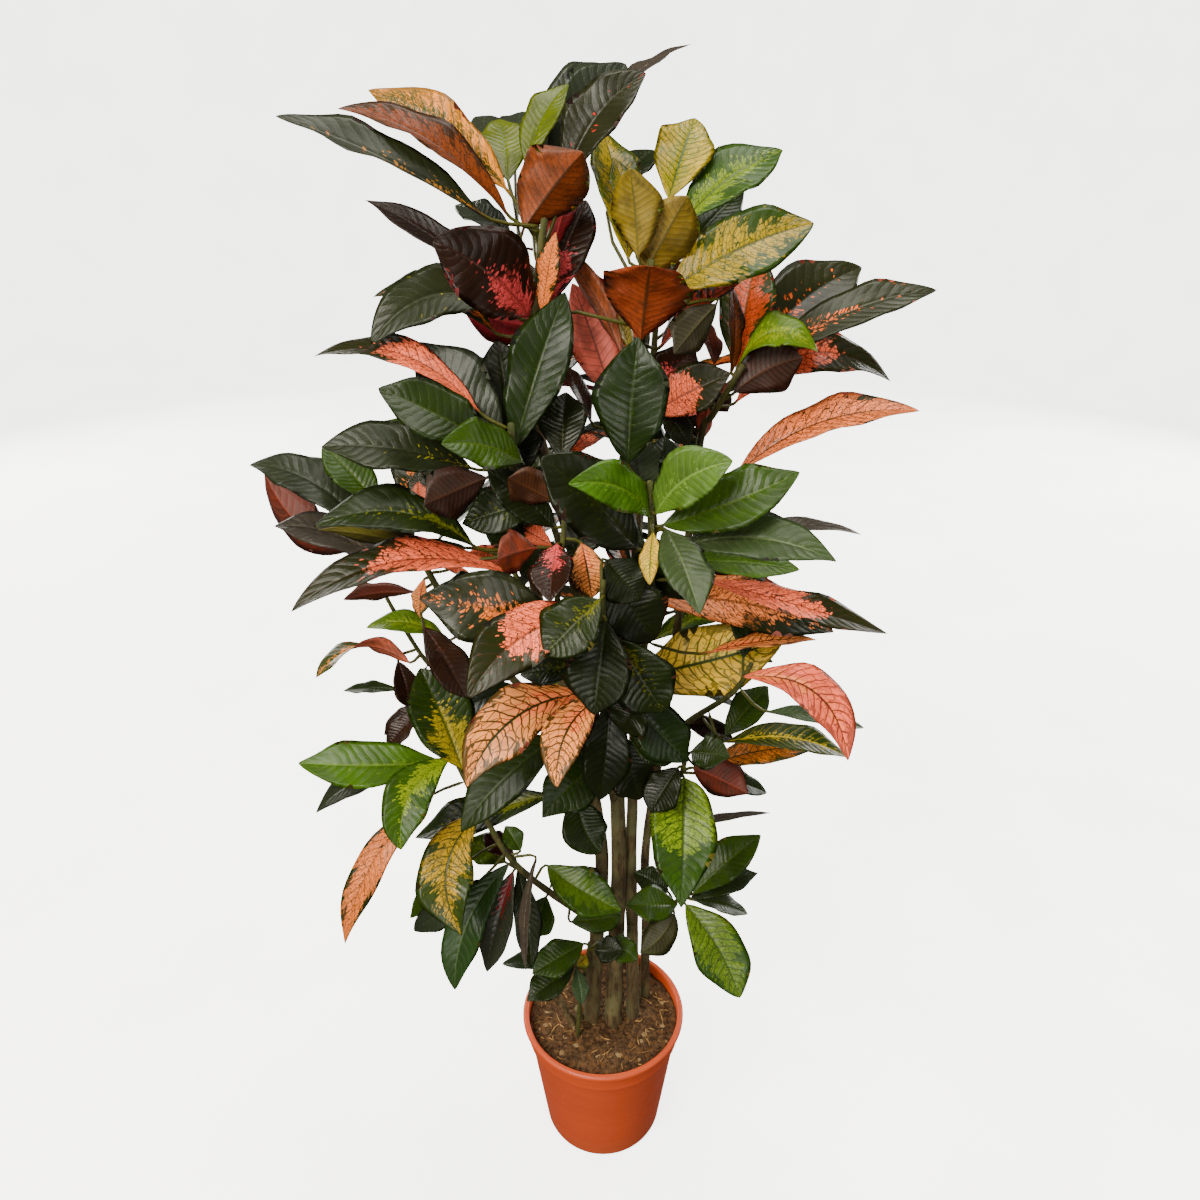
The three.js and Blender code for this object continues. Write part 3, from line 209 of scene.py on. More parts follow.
# Leaves seen in the picture, by shoot: the tip and the foot of the blade as places in the picture, the real
# width, how much farther than its foot the tip lies, the turn of the face towards the sky, what departs
# from the usual leaf if anything does, and the looks of its upper side and its underside
LEAVES = {
    "top_left": [
        (275, 116, 480, 214, 60, -50, 58, {"fold": 30, "sweep": 0.015}, "speckled/purple"),
        (337, 109, 505, 212, 52, -25, 50, {"fold": 32, "sweep": -0.06}, "brown_orange/orange"),
        (368, 90, 505, 188, 60, 5, 28, {"sweep": -0.035}, "sunrise/orange"),
        (500, 119, 508, 180, 56, 45, 5, {"fold": 8}, "lime/lime"),
        (569, 84, 528, 168, 42, 20, 30, {"sweep": 0.06}, "lime/lime"),
        (646, 73, 566, 182, 66, -25, 34, {"fold": 20, "sweep": 0.07}, "red_flecked/purple"),
        (626, 64, 550, 168, 76, 60, 10, {"sweep": 0.02}, "slate/slate"),
        (600, 63, 540, 165, 62, 90, 10, {"sweep": 0.02}, "slate/slate"),
        (692, 44, 600, 112, 40, 30, 72, {"sweep": 0.01, "fold": 10}, "grey_brown/brown"),
        (583, 152, 524, 228, 84, -55, 15, {"under": 1, "fold": 30}, "sunset/orange_brown"),
        (581, 166, 553, 250, 44, -20, 50, {"under": 1, "fold": 20}, "black_red/crimson"),
        (365, 200, 498, 290, 48, -10, 35, "plum/purple"),
        (432, 240, 528, 315, 92, -80, 12, {"fold": 22, "arch": 0.1, "sweep": -0.05}, "black_red/crimson"),
        (373, 297, 492, 330, 48, -20, 45, {"sweep": -0.13}, "salmon_specks/purple"),
        (371, 344, 510, 314, 62, -45, 26, {"sweep": -0.2}, "slate_flecks/purple"),
        (466, 314, 533, 328, 66, -10, 20, {"under": 1}, "black_red/magenta"),
        (586, 200, 548, 305, 60, 20, 20, "black_red/crimson"),
        (556, 232, 543, 312, 26, -30, 20, "dark_salmon/salmon"),
        (455, 205, 510, 235, 40, 60, 40, "slate/slate"),
        (478, 116, 505, 170, 50, 70, 20, "slate/slate"),
        (520, 112, 515, 165, 50, 90, 15, "slate/slate"),
    ],
    "second": [
        (601, 129, 628, 258, 66, 15, 34, "yellow_green/olive"),
        (613, 157, 636, 252, 44, -15, 40, "yellow_green/gold"),
        (630, 168, 638, 255, 56, -40, 15, {"under": 1}, "yellow_green/gold"),
        (688, 196, 645, 274, 70, -60, 10, {"under": 1}, "yellow_green/gold"),
        (695, 118, 669, 198, 66, 30, 8, "yellow_veined/gold"),
        (654, 150, 612, 196, 46, 30, 40, "deep_green/brown"),
        (783, 150, 684, 222, 70, 20, 36, {"sweep": 0.03}, "lime_panels/green"),
        (814, 223, 668, 292, 84, -10, 30, {"fold": 10, "sweep": 0.02}, "green_yellow/olive"),
        (768, 264, 662, 346, 62, -50, 58, {"fold": 30}, "orange_dark/pale_salmon"),
        (650, 266, 641, 338, 98, -90, 0, {"under": 1, "arch": 0.1}, "sunset/orange"),
        (572, 283, 612, 398, 62, 0, 15, {"under": 1}, "pink_foot/pale_salmon"),
        (563, 250, 621, 351, 36, -10, 45, {"under": 1}, "sunset/orange_brown"),
        (598, 288, 630, 350, 34, 10, 45, "yellow_green/olive"),
        (674, 354, 716, 305, 46, -20, 20, {"under": 1}, "deep_green/black_olive"),
        (714, 365, 700, 316, 30, 0, 50, {"under": 1}, "pink_foot/pink_grey"),
        (731, 373, 655, 412, 62, -40, 20, {"fold": 20}, "pink_foot/pale_salmon"),
        (562, 364, 590, 420, 30, 0, 50, "plum/purple"),
        (564, 366, 556, 325, 26, 0, 40, {"under": 1}, "black_red/magenta"),
        (700, 412, 665, 440, 30, 20, 30, "black_green/brown"),
        (690, 445, 664, 412, 34, 0, 20, "black_green/brown"),
        (744, 190, 684, 252, 46, 40, 25, "deep_green/olive"),
        (694, 346, 652, 398, 52, 10, 15, "black_red/brown"),
    ],
    "right": [
        (757, 255, 737, 365, 68, 25, 10, "green_pink/salmon"),
        (731, 284, 731, 372, 26, -20, 50, "brown_orange/orange"),
        (862, 267, 745, 362, 84, 10, 15, {"sweep": 0.05}, "orange_specks/salmon"),
        (937, 290, 770, 360, 56, -5, 38, {"sweep": 0.04}, "orange_specks/salmon"),
        (818, 352, 742, 360, 52, -30, 45, {"arch": 0.2, "sweep": 0.16}, "lime_green/olive"),
        (828, 330, 780, 354, 34, -10, 45, {"under": 1}, "orange_dark/orange"),
        (803, 358, 735, 392, 62, -45, 20, {"sweep": 0.08, "under": 1}, "black_green/black_brown"),
        (891, 382, 738, 400, 66, -20, 35, {"sweep": 0.2, "fold": 12}, "pink_foot/salmon"),
        (920, 411, 738, 473, 60, -40, 45, {"sweep": 0.07, "fold": 20}, "salmon_dark/salmon"),
        (728, 412, 712, 395, 30, 10, 20, {"under": 1}, "black_green/black_brown"),
        (701, 441, 709, 402, 20, 10, 30, {"under": 1}, "pink_foot/salmon"),
        (683, 428, 697, 452, 20, 10, 0, "slate/slate"),
        (771, 813, 668, 835, 18, 10, 50, "grey_brown/brown"),
    ],
    "mid_left": [
        (565, 292, 515, 448, 70, -20, 15, "deep_glossy/slate"),
        (417, 342, 502, 440, 74, 10, 10, "slate/slate"),
        (378, 388, 490, 445, 66, -30, 25, {"fold": 12}, "deep_green/slate"),
        (313, 357, 475, 408, 46, 20, 48, {"sweep": -0.12}, "pink_foot/crimson"),
        (441, 444, 522, 462, 54, -60, 25, {"sweep": -0.06}, "green/slate"),
        (321, 447, 470, 468, 66, -25, 32, {"sweep": -0.03}, "slate_flecks/slate"),
        (374, 424, 440, 440, 22, 20, 30, "green/olive"),
        (424, 505, 486, 478, 56, -50, 10, {"under": 1}, "black_green/black_brown"),
        (497, 340, 512, 440, 52, 30, 10, "black_green/black_brown"),
        (520, 420, 515, 480, 60, 0, 10, "black_green/black_brown"),
    ],
    "inner": [
        (508, 478, 552, 500, 44, -40, 10, {"under": 1}, "black_green/brown"),
        (487, 470, 553, 526, 50, -30, 20, "black_green/brown"),
        (566, 392, 562, 458, 56, 20, 10, "black_green/brown"),
        (498, 560, 535, 548, 50, -40, 20, {"under": 1}, "orange_dark/orange_red"),
        (550, 602, 557, 545, 50, -30, 20, "black_red/crimson"),
        (592, 598, 582, 545, 44, 0, 10, "salmon_net/salmon"),
        (510, 523, 550, 545, 30, 0, 30, "pink_foot/salmon"),
        (462, 524, 545, 498, 56, 30, 15, "deep_flecked/brown"),
        (598, 505, 572, 560, 60, 40, 10, "black_green/brown"),
        (520, 575, 560, 545, 50, 30, 15, "black_green/brown"),
    ],
    "left": [
        (323, 445, 378, 505, 50, 10, 20, "green/slate"),
        (249, 465, 362, 530, 62, 10, 30, {"sweep": -0.1}, "slate/slate"),
        (264, 471, 366, 542, 58, 40, 22, {"under": 1, "sweep": 0.18}, "brown_red/brown_red"),
        (274, 526, 385, 562, 56, 0, 38, {"sweep": -0.05}, "grey_brown/purple"),
        (418, 470, 420, 512, 24, 20, 20, "pink_foot/salmon"),
        (343, 600, 412, 592, 34, 10, 50, {"under": 1}, "brown_red/brown_red"),
        (420, 618, 424, 580, 24, 0, 40, "salmon_net/salmon"),
        (366, 628, 445, 640, 36, -10, 40, {"sweep": -0.1}, "lime_green/olive"),
    ],
    "centre": [
        (638, 337, 628, 462, 78, -40, 8, {"fold": 10}, "deep_glossy/slate"),
        (541, 457, 636, 548, 92, -60, 10, "black_green/brown"),
        (568, 484, 648, 516, 50, -70, 18, {"sweep": -0.12}, "bright_green/olive"),
        (733, 461, 657, 513, 60, -60, 15, {"sweep": 0.1}, "pale_green/olive"),
        (800, 472, 664, 525, 68, -45, 25, {"sweep": -0.05}, "green/olive"),
        (837, 562, 680, 548, 62, -60, 35, {"sweep": 0.07}, "grey_green/slate"),
        (800, 570, 690, 562, 44, -20, 35, "pale_green/slate"),
        (760, 562, 680, 560, 50, 20, 30, {"under": 1}, "black_green/black_brown"),
        (862, 535, 715, 550, 24, 20, 50, {"sweep": 0.06}, "grey_brown/brown"),
        (700, 615, 666, 530, 54, -80, 25, "grey_green/slate"),
        (633, 429, 642, 505, 52, -20, 25, "slate/slate"),
        (664, 437, 662, 500, 58, 0, 15, "slate/slate"),
        (650, 585, 653, 535, 22, -40, 20, "yellow_net/gold"),
        (834, 632, 642, 598, 72, -30, 20, {"sweep": 0.04}, "pink_foot_specks/salmon"),
        (888, 634, 712, 582, 44, 15, 42, {"sweep": -0.03}, "pink_foot/salmon"),
        (784, 640, 634, 677, 94, -60, 5, {"sweep": -0.02}, "pale_yellow_net/olive"),
        (817, 640, 712, 652, 30, 10, 50, "salmon_net/salmon"),
        (645, 600, 655, 540, 60, 20, 5, "deep_green/brown"),
        (690, 600, 665, 545, 60, 30, 10, "black_green/brown"),
    ],
    "pink_left": [
        (291, 612, 505, 572, 56, -40, 42, {"sweep": -0.1, "fold": 22}, "pink_foot/crimson"),
        (314, 527, 472, 545, 62, -45, 38, {"sweep": -0.12}, "deep_flecked/slate"),
        (318, 530, 440, 556, 36, 10, 50, {"under": 1}, "deep_green/olive"),
        (404, 560, 465, 548, 30, 20, 40, "grey_green/slate"),
        (444, 585, 490, 582, 26, 0, 40, "grey_green/slate"),
        (466, 698, 424, 628, 46, 10, 20, "plum/brown"),
    ],
    "twisted": [
        (316, 678, 408, 662, 50, -30, 90, {"sweep": -0.2, "twist": -140}, "twisted_lime/salmon"),
        (410, 708, 398, 662, 36, 0, 20, "plum/purple"),
        (343, 691, 398, 690, 22, 0, 45, "deep_green/olive"),
        (387, 748, 418, 712, 34, 0, 30, "plum/purple"),
        (384, 735, 418, 705, 24, 15, 30, "plum/purple"),
    ],
    "front": [
        (419, 598, 565, 630, 82, -20, 15, {"sweep": -0.03}, "salmon_spots/slate"),
        (468, 699, 592, 616, 68, -45, 10, {"sweep": -0.13}, "pink_foot/slate"),
        (466, 788, 582, 694, 70, -50, 8, {"sweep": -0.15}, "salmon_net/salmon"),
        (557, 788, 603, 697, 50, -55, 10, {"sweep": -0.14}, "salmon_net/salmon"),
        (520, 675, 583, 668, 44, 10, 30, "deep_flecked/olive"),
        (620, 730, 640, 700, 60, 20, 10, "black_green/brown"),
        (461, 832, 565, 735, 60, -20, 12, {"sweep": -0.06}, "deep_green/slate"),
        (542, 818, 606, 758, 64, -20, 12, {"sweep": -0.05}, "deep_glossy/slate"),
        (601, 853, 578, 795, 62, -10, 10, {"sweep": -0.12}, "deep_green/slate"),
        (415, 838, 550, 795, 60, 30, 25, "deep_flecked/olive"),
        (655, 640, 605, 572, 76, 30, 5, "black_green/brown"),
        (594, 715, 606, 622, 74, 20, 5, "black_green/brown"),
        (664, 712, 618, 640, 76, 20, 5, "deep_flecked/brown"),
        (640, 600, 606, 560, 56, 10, 5, "black_green/brown"),
        (545, 655, 600, 600, 66, 30, 15, "deep_flecked/olive"),
        (600, 800, 610, 700, 60, 40, 5, "black_green/brown"),
        (688, 762, 626, 700, 66, 20, 10, "deep_glossy/olive"),
        (640, 800, 616, 735, 60, 30, 10, "black_green/brown"),
        (560, 760, 600, 700, 56, 40, 10, "black_red/brown"),
    ],
    "lower_right": [
        (848, 761, 745, 677, 58, -35, 26, {"sweep": 0.22}, "pink_net/salmon"),
        (768, 686, 726, 735, 46, 20, 10, "green/olive"),
        (847, 757, 728, 742, 46, 10, 38, {"sweep": 0.06}, "green_yellow_veins/olive"),
        (819, 748, 704, 768, 46, -20, 30, {"sweep": 0.03}, "yellow_orange_net/olive"),
        (864, 728, 770, 712, 30, 20, 40, "grey_green/slate"),
        (734, 740, 684, 722, 36, -20, 30, "plum/purple"),
    ],
    "hanging": [
        (681, 908, 684, 778, 82, -40, 3, {"fold": 8, "full": 0.42}, "lime_net/olive"),
        (630, 738, 676, 757, 50, -30, 20, "deep_green/slate"),
        (730, 757, 692, 752, 46, -40, 20, "deep_green/slate"),
        (650, 812, 678, 768, 50, 15, 15, "black_green/brown"),
        (748, 794, 694, 768, 54, 10, 25, {"under": 1}, "brown_red/brown_red"),
        (767, 793, 708, 775, 30, 30, 30, "deep_green/slate"),
    ],
    "low_right": [
        (761, 835, 694, 893, 58, 0, 20, "green/olive"),
        (758, 873, 692, 898, 44, 20, 30, "deep_green/olive"),
        (748, 914, 694, 900, 40, 10, 30, "deep_green/olive"),
        (626, 905, 676, 905, 52, -40, 10, "green/olive"),
        (634, 872, 668, 892, 40, 10, 20, "deep_green/olive"),
        (640, 953, 674, 914, 50, -10, 10, {"under": 1, "sweep": 0.1}, "deep_green/dark_olive"),
        (740, 998, 686, 905, 76, -40, 5, {"sweep": 0.05}, "lime_mottled/olive"),
    ],
    "low_left": [
        (298, 763, 440, 762, 66, -20, 20, {"sweep": 0.04}, "bright_green/olive"),
        (401, 850, 448, 760, 62, -50, 8, {"sweep": -0.17}, "lime_centre/olive"),
        (316, 813, 420, 768, 42, 25, 30, {"sweep": -0.08}, "slate/slate"),
        (345, 944, 425, 800, 42, -5, 12, {"sweep": -0.08}, "dark_salmon/brown"),
        (420, 668, 462, 768, 84, 20, 10, "yellow_cells/olive"),
        (462, 935, 478, 814, 76, -40, 12, {"sweep": -0.19}, "yellow_net_green/olive"),
        (455, 990, 508, 865, 56, -10, 10, {"sweep": -0.1}, "green_sheen/olive"),
        (487, 972, 513, 872, 48, 10, 20, "grey_crimson/slate"),
        (531, 967, 518, 870, 40, -30, 20, "black_green/brown"),
        (526, 971, 536, 860, 24, -60, 55, "grey_brown/brown"),
        (622, 911, 548, 866, 64, -30, 10, {"sweep": -0.05}, "green_glow/olive"),
        (622, 916, 572, 922, 44, 20, 20, "green/olive"),
        (534, 938, 546, 897, 50, 0, 10, "green/olive"),
        (484, 835, 513, 856, 34, 10, 20, "brown_red/brown_red"),
        (505, 826, 520, 850, 30, 0, 10, "green/olive"),
        (468, 840, 505, 862, 46, 20, 10, "lime_green/olive"),
        (410, 918, 470, 860, 34, 40, 20, "green/olive"),
        (414, 931, 480, 880, 44, 20, 10, "slate/slate"),
        (604, 892, 570, 868, 40, 30, 10, "black_green/brown"),
    ],
    "low": [
        (532, 974, 583, 944, 54, -20, 10, "green/olive"),
        (502, 964, 560, 962, 34, 0, 20, "deep_glossy/olive"),
        (527, 1001, 573, 968, 50, -30, 20, "deep_green/olive"),
        (582, 1005, 576, 969, 26, -20, 20, "grey_green/slate"),
        (578, 966, 586, 956, 26, 0, 10, "yellow_green/olive"),
        (622, 950, 595, 950, 40, -20, 10, "black_green/olive"),
        (638, 959, 606, 941, 40, -10, 15, "green/olive"),
    ],
}

# Upper sides: the ground colour, the colour of the patches and of the ribs, the share of the blade that the
# patches take at its foot and at its tip, how strongly the net of veins shows, and how strongly the ribs
FACES = {
    # Black green: the dark leaves' own near-black green, and painted shade where such leaves fill the dark
    # inside of the bush
    "black_green": ((32, 38, 8), (50, 58, 14), (46, 54, 18), 0.25, 0.15, 0.0, 0.35),
    "black_red": ((44, 26, 4), (218, 134, 136), (70, 34, 20), 0.7, 0.03, 0.1, 0.4),
    "bright_green": ((78, 120, 14), (112, 148, 24), (128, 156, 50), 0.3, 0.15, 0.0, 0.5),
    "brown_orange": ((70, 40, 8), (150, 70, 4), (52, 34, 8), 0.8, 0.5, 0.3, 0.5),
    "brown_red": ((70, 28, 20), (150, 52, 44), (60, 24, 20), 0.3, 0.1, 0.1, 0.5),
    "dark_salmon": ((44, 54, 16), (232, 180, 128), (56, 62, 26), 1.0, 0.7, 0.4, 0.5),
    "deep_flecked": ((38, 50, 12), (128, 130, 30), (58, 72, 22), 0.36, 0.16, 0.0, 0.35),
    "deep_glossy": ((34, 52, 10), (50, 72, 16), (62, 80, 30), 0.2, 0.1, 0.0, 0.4),
    "deep_green": ((40, 56, 14), (58, 78, 20), (66, 84, 30), 0.2, 0.08, 0.0, 0.4),
    "green": ((60, 90, 14), (86, 116, 22), (98, 120, 42), 0.2, 0.1, 0.0, 0.5),
    "green_glow": ((58, 90, 12), (94, 124, 18), (74, 98, 26), 0.9, 0.4, 0.15, 0.4),
    "green_pink": ((70, 92, 40), (232, 148, 108), (66, 86, 36), 0.6, 0.6, 0.3, 0.6),
    "green_sheen": ((56, 84, 40), (84, 108, 52), (120, 134, 92), 0.2, 0.1, 0.0, 0.6),
    "green_yellow": ((56, 86, 14), (190, 172, 16), (44, 70, 14), 1.0, 0.6, 0.5, 0.7),
    "green_yellow_veins": ((44, 66, 22), (190, 176, 44), (196, 182, 60), 0.3, 0.22, 0.1, 0.8),
    "grey_brown": ((86, 78, 68), (108, 94, 76), (68, 58, 50), 0.3, 0.2, 0.0, 0.5),
    "grey_crimson": ((74, 78, 62), (170, 40, 60), (92, 90, 74), 0.5, 0.0, 0.0, 0.5),
    "grey_green": ((80, 100, 62), (104, 122, 78), (124, 140, 100), 0.2, 0.1, 0.0, 0.6),
    "lime": ((112, 126, 0), (130, 142, 0), (80, 104, 8), 0.3, 0.2, 0.0, 0.6),
    "lime_centre": ((64, 100, 14), (168, 180, 28), (116, 142, 36), 0.7, 0.2, 0.1, 0.5),
    "lime_green": ((106, 138, 20), (158, 172, 28), (76, 108, 20), 0.5, 0.3, 0.0, 0.5),
    "lime_mottled": ((52, 84, 14), (120, 144, 14), (34, 58, 12), 1.2, 0.7, 0.6, 0.6),
    "lime_net": ((56, 88, 14), (142, 162, 14), (36, 60, 12), 2.4, -0.2, 0.7, 0.7),
    "lime_panels": ((62, 98, 14), (148, 166, 18), (48, 80, 12), 0.55, 0.3, 0.15, 0.7),
    "orange_dark": ((48, 30, 16), (206, 96, 34), (46, 34, 18), 0.62, 0.35, 0.3, 0.6),
    "orange_specks": ((52, 56, 34), (222, 144, 70), (48, 54, 30), 0.36, 0.14, 0.05, 0.35),
    "pale_green": ((104, 138, 58), (140, 168, 84), (154, 176, 106), 0.25, 0.15, 0.0, 0.6),
    "pale_yellow_net": ((236, 218, 140), (188, 188, 60), (66, 86, 24), 0.2, 0.3, 0.85, 1.0),
    "pink_foot": ((40, 46, 14), (232, 168, 142), (58, 42, 24), 2.2, 0.0, 0.5, 0.6),
    "pink_foot_specks": ((38, 46, 14), (238, 186, 142), (46, 50, 22), 1.7, 0.25, 0.5, 0.6),
    "pink_net": ((236, 172, 152), (238, 190, 142), (62, 38, 28), 0.4, 0.2, 0.75, 0.9),
    "plum": ((56, 36, 26), (92, 50, 42), (66, 42, 34), 0.3, 0.15, 0.0, 0.5),
    "red_flecked": ((46, 48, 30), (206, 76, 42), (56, 60, 36), 0.16, 0.1, 0.0, 0.3),
    "salmon_dark": ((48, 50, 22), (236, 180, 140), (54, 50, 24), 2.0, 1.0, 0.6, 0.8),
    "salmon_net": ((238, 196, 152), (236, 170, 134), (42, 52, 18), 0.6, 0.1, 0.95, 1.0),
    "salmon_specks": ((42, 56, 20), (218, 152, 92), (60, 74, 32), 0.36, 0.16, 0.0, 0.35),
    "salmon_spots": ((54, 60, 38), (222, 164, 104), (62, 68, 44), 0.42, 0.26, 0.0, 0.4),
    # Slate: a dark green made greyer by a painted sheen, the reflection of the lamps in the leaf's gloss
    "slate": ((58, 66, 48), (70, 78, 56), (74, 80, 60), 0.2, 0.15, 0.0, 0.35),
    "slate_flecks": ((54, 62, 40), (176, 172, 56), (70, 78, 52), 0.26, 0.04, 0.0, 0.35),
    "speckled": ((52, 58, 34), (206, 160, 50), (62, 68, 38), 0.3, 0.12, 0.0, 0.3),
    "sunrise": ((230, 186, 96), (74, 88, 30), (66, 80, 26), 0.52, 0.62, 0.8, 0.6),
    "sunset": ((92, 96, 20), (226, 156, 62), (108, 74, 20), 0.8, 0.62, 0.25, 0.5),
    "twisted_lime": ((70, 84, 28), (222, 176, 100), (84, 84, 36), 1.1, 0.3, 0.2, 0.5),
    "yellow_cells": ((38, 58, 16), (184, 172, 34), (58, 78, 22), 0.9, 0.12, 0.4, 0.8),
    "yellow_green": ((92, 106, 8), (186, 168, 8), (60, 80, 10), 0.9, 0.6, 0.35, 0.8),
    "yellow_net": ((226, 208, 128), (196, 190, 80), (56, 76, 18), 0.4, 0.4, 0.8, 0.95),
    "yellow_net_green": ((70, 88, 38), (202, 178, 62), (44, 62, 20), 1.2, 0.45, 0.75, 0.9),
    "yellow_orange_net": ((62, 74, 30), (222, 168, 64), (48, 62, 22), 1.1, 0.8, 0.7, 0.9),
    "yellow_veined": ((198, 180, 0), (152, 148, 0), (58, 88, 6), 0.5, 0.42, 0.8, 0.95),
}

# Undersides: the colour between the ribs, and the colour of the ribs
BACKS = {
    "black_brown": ((58, 30, 14), (88, 48, 26)),
    "black_olive": ((54, 48, 24), (90, 84, 40)),
    "brown": ((84, 44, 20), (112, 66, 34)),
    "brown_red": ((112, 44, 30), (150, 66, 48)),
    "crimson": ((184, 70, 76), (204, 92, 90)),
    "dark_olive": ((70, 72, 30), (104, 102, 48)),
    "gold": ((170, 148, 6), (104, 96, 12)),
    "green": ((104, 136, 60), (140, 164, 90)),
    "lime": ((150, 172, 30), (120, 150, 40)),
    "magenta": ((184, 66, 80), (206, 92, 98)),
    "olive": ((116, 108, 20), (84, 86, 24)),
    "orange": ((172, 78, 22), (86, 52, 18)),
    "orange_brown": ((146, 70, 20), (78, 46, 16)),
    "orange_red": ((164, 70, 26), (110, 50, 22)),
    "pink_grey": ((150, 108, 98), (110, 84, 74)),
    # A paler copy of the salmon underside: painted light for the leaves that sit in shade under the crowns
    "pale_salmon": ((224, 164, 152), (140, 76, 62)),
    "purple": ((98, 72, 72), (124, 96, 92)),
    "salmon": ((212, 146, 124), (126, 66, 52)),
    "slate": ((96, 102, 84), (120, 124, 104)),
}

# Looks of the rear leaves, from the top of the bush down
REAR_TOP = [
    "sunset/orange", "orange_specks/salmon", "green_yellow/olive", "slate/purple", "black_red/crimson",
]
REAR_MIDDLE = [
    "deep_green/olive", "pink_foot/salmon", "slate/slate", "deep_glossy/slate", "salmon_spots/purple",
]
REAR_LOW = ["green/olive", "deep_green/slate", "lime_centre/olive", "deep_glossy/olive"]
REAR_TOP_HEIGHT = 1200
REAR_MIDDLE_HEIGHT = 880

# Other colours as they are seen, red, green and blue from 0 to 255
STALK_GREEN = (92, 92, 36)
LEAF_SHADOW = (12, 18, 6)
BACK_SHADOW = (40, 32, 14)
BARK_DARK = (66, 54, 36)
BARK_BROWN = (128, 110, 78)
BARK_GREY = (126, 124, 88)
BARK_SPOT = (150, 136, 104)
YOUNG_DARK = (62, 72, 28)
YOUNG_GREEN = (104, 106, 46)
POT_PLAIN = (190, 92, 44)
POT_WARM = (195, 97, 48)
POT_DULL = (172, 82, 42)
POT_SCUFF = (210, 122, 76)
POT_DUST = (160, 118, 84)
PEAT_DARK_AND_HOLLOW_SHADE = (52, 36, 24)
PEAT_BROWN = (124, 94, 66)
PEAT_RUST = (136, 96, 62)
PEAT_GRIT = (176, 158, 126)
STRAW_DARK = (128, 98, 62)
STRAW_PALE = (206, 184, 138)
CHIP_DARK = (50, 34, 22)
CHIP_PALE = (128, 92, 62)

# The studio floor's own colours, how brightly it glows, and how dull it is
FLOOR_GREY = (0.76, 0.755, 0.74, 1.0)
FLOOR_PALE = (0.8, 0.795, 0.78, 1.0)
FLOOR_GLOW = 4.6
FLOOR_ROUGHNESS = 0.85

# How strongly each finish shines
LEAF_GLOSS = 0.16
BACK_GLOSS = 0.3
BARK_GLOSS = 0.3
POT_GLOSS = 0.4
SOIL_GLOSS = 0.2
LITTER_GLOSS = 0.3

# The relief of each finish: its strength, and its depth in metres
LEAF_RELIEF = (0.36, 0.0015)
BACK_RELIEF = (0.3, 0.0014)
BARK_RELIEF = (0.6, 0.0018)
POT_RELIEF = (0.06, 0.001)
SOIL_RELIEF = (0.9, 0.004)
LITTER_RELIEF = (0.4, 0.0006)

# How the picture's soft tone curve turns light into colour, as powers of two of the colour's share
TONE_FOOT = -6.73
TONE_RISE = 12.51
TONE_BEND = -13.56
TONE_CREST = 9.24

# How that curve pales colours, how far they can go, and how much light falls on leaves and on upright sides
PALE_SHARES = np.array([0.09, 0.07, 0.84])
RICHNESS = 1.49
SHEEN = 0.014
PUREST = 0.02
DARKEST = 0.002
PALEST = 0.88
OPEN_LIGHT = 2.1
SIDE_LIGHT = 1.45


def linear(colour, light_level=OPEN_LIGHT):
    """The reflectance that looks, in light of that level, like a colour stated as it is seen, 0 to 255."""
    share = np.array(colour, float) / 255
    light = 2 ** (TONE_FOOT + TONE_RISE * share + TONE_BEND * share**2 + TONE_CREST * share**3)
    pale = light @ PALE_SHARES
    rich = (pale + (light - pale) * RICHNESS - SHEEN) / light_level
    return (*np.clip(rich, max(DARKEST, PUREST * rich.max()), PALEST).tolist(), 1.0)


def side_lit(colour):
    """The reflectance of a colour on a side that stands upright, where less light falls."""
    return linear(colour, SIDE_LIGHT)


def spread(number, step):
    """A share between 0 and 1, spread evenly over numbered leaves."""
    return number * step % 1


def unit(vector):
    """The direction of a vector."""
    return vector / np.linalg.norm(vector)


def run_along(points):
    """How far along a line each of its points lies."""
    return np.concatenate(([0], np.cumsum(np.linalg.norm(np.diff(points, axis=0), axis=1))))


def bow(start, middle, end, share):
    """A point of a bowed line that sets out towards its middle point, and its direction there."""
    rest = 1 - share
    place = start * rest**2 + middle * 2 * rest * share + end * share**2
    return place, unit((middle - start) * rest + (end - middle) * share)


def squared(wide, heading, shown):
    """A width direction made square to a heading, and the direction of the upper side."""
    wide = unit(wide - heading * (wide @ heading))
    return wide, np.cross(heading, wide) * shown


def seen(point):
    """Where a point is seen in the picture, and how far ahead of the eye it lies."""
    ray = point - EYE
    depth = ray @ AHEAD
    across = PICTURE_CENTRE[0] + FOCAL_PIXELS * (ray @ SIDEWAYS) / depth
    down = PICTURE_CENTRE[1] - FOCAL_PIXELS * (ray @ OVERHEAD) / depth
    return across, down, depth


def sighted(across, down, depth):
    """The point that is seen at a place in the picture, at a stated depth."""
    right = depth * (across - PICTURE_CENTRE[0]) / FOCAL_PIXELS
    up = depth * (PICTURE_CENTRE[1] - down) / FOCAL_PIXELS
    return EYE + AHEAD * depth + SIDEWAYS * right + OVERHEAD * up


def on_curve(path, share):
    """A point of the smooth curve through a shoot's points."""
    spans = len(path) - 1
    index = min(int(share * spans), spans - 1)
    part = share * spans - index
    before = path[index - 1] if index > 0 else 2 * path[0] - path[1]
    after = path[index + 2] if index + 2 <= spans else 2 * path[-1] - path[-2]
    start, end = path[index], path[index + 1]
    leave = (end - before) / 2
    arrive = (after - start) / 2
    return (
        start
        + leave * part
        + (3 * (end - start) - 2 * leave - arrive) * part**2
        + (2 * (start - end) + leave + arrive) * part**3
    )


def onto_spine(point, spine):
    """The nearest point of the straight runs that a stem's solid makes of its curve."""
    nearest = []
    for start, end in zip(spine, spine[1:]):
        run = end - start
        share = min(1, max(0, (point - start) @ run / (run @ run)))
        nearest.append(start + run * share)
    return min(nearest, key=lambda place: np.linalg.norm(place - point))


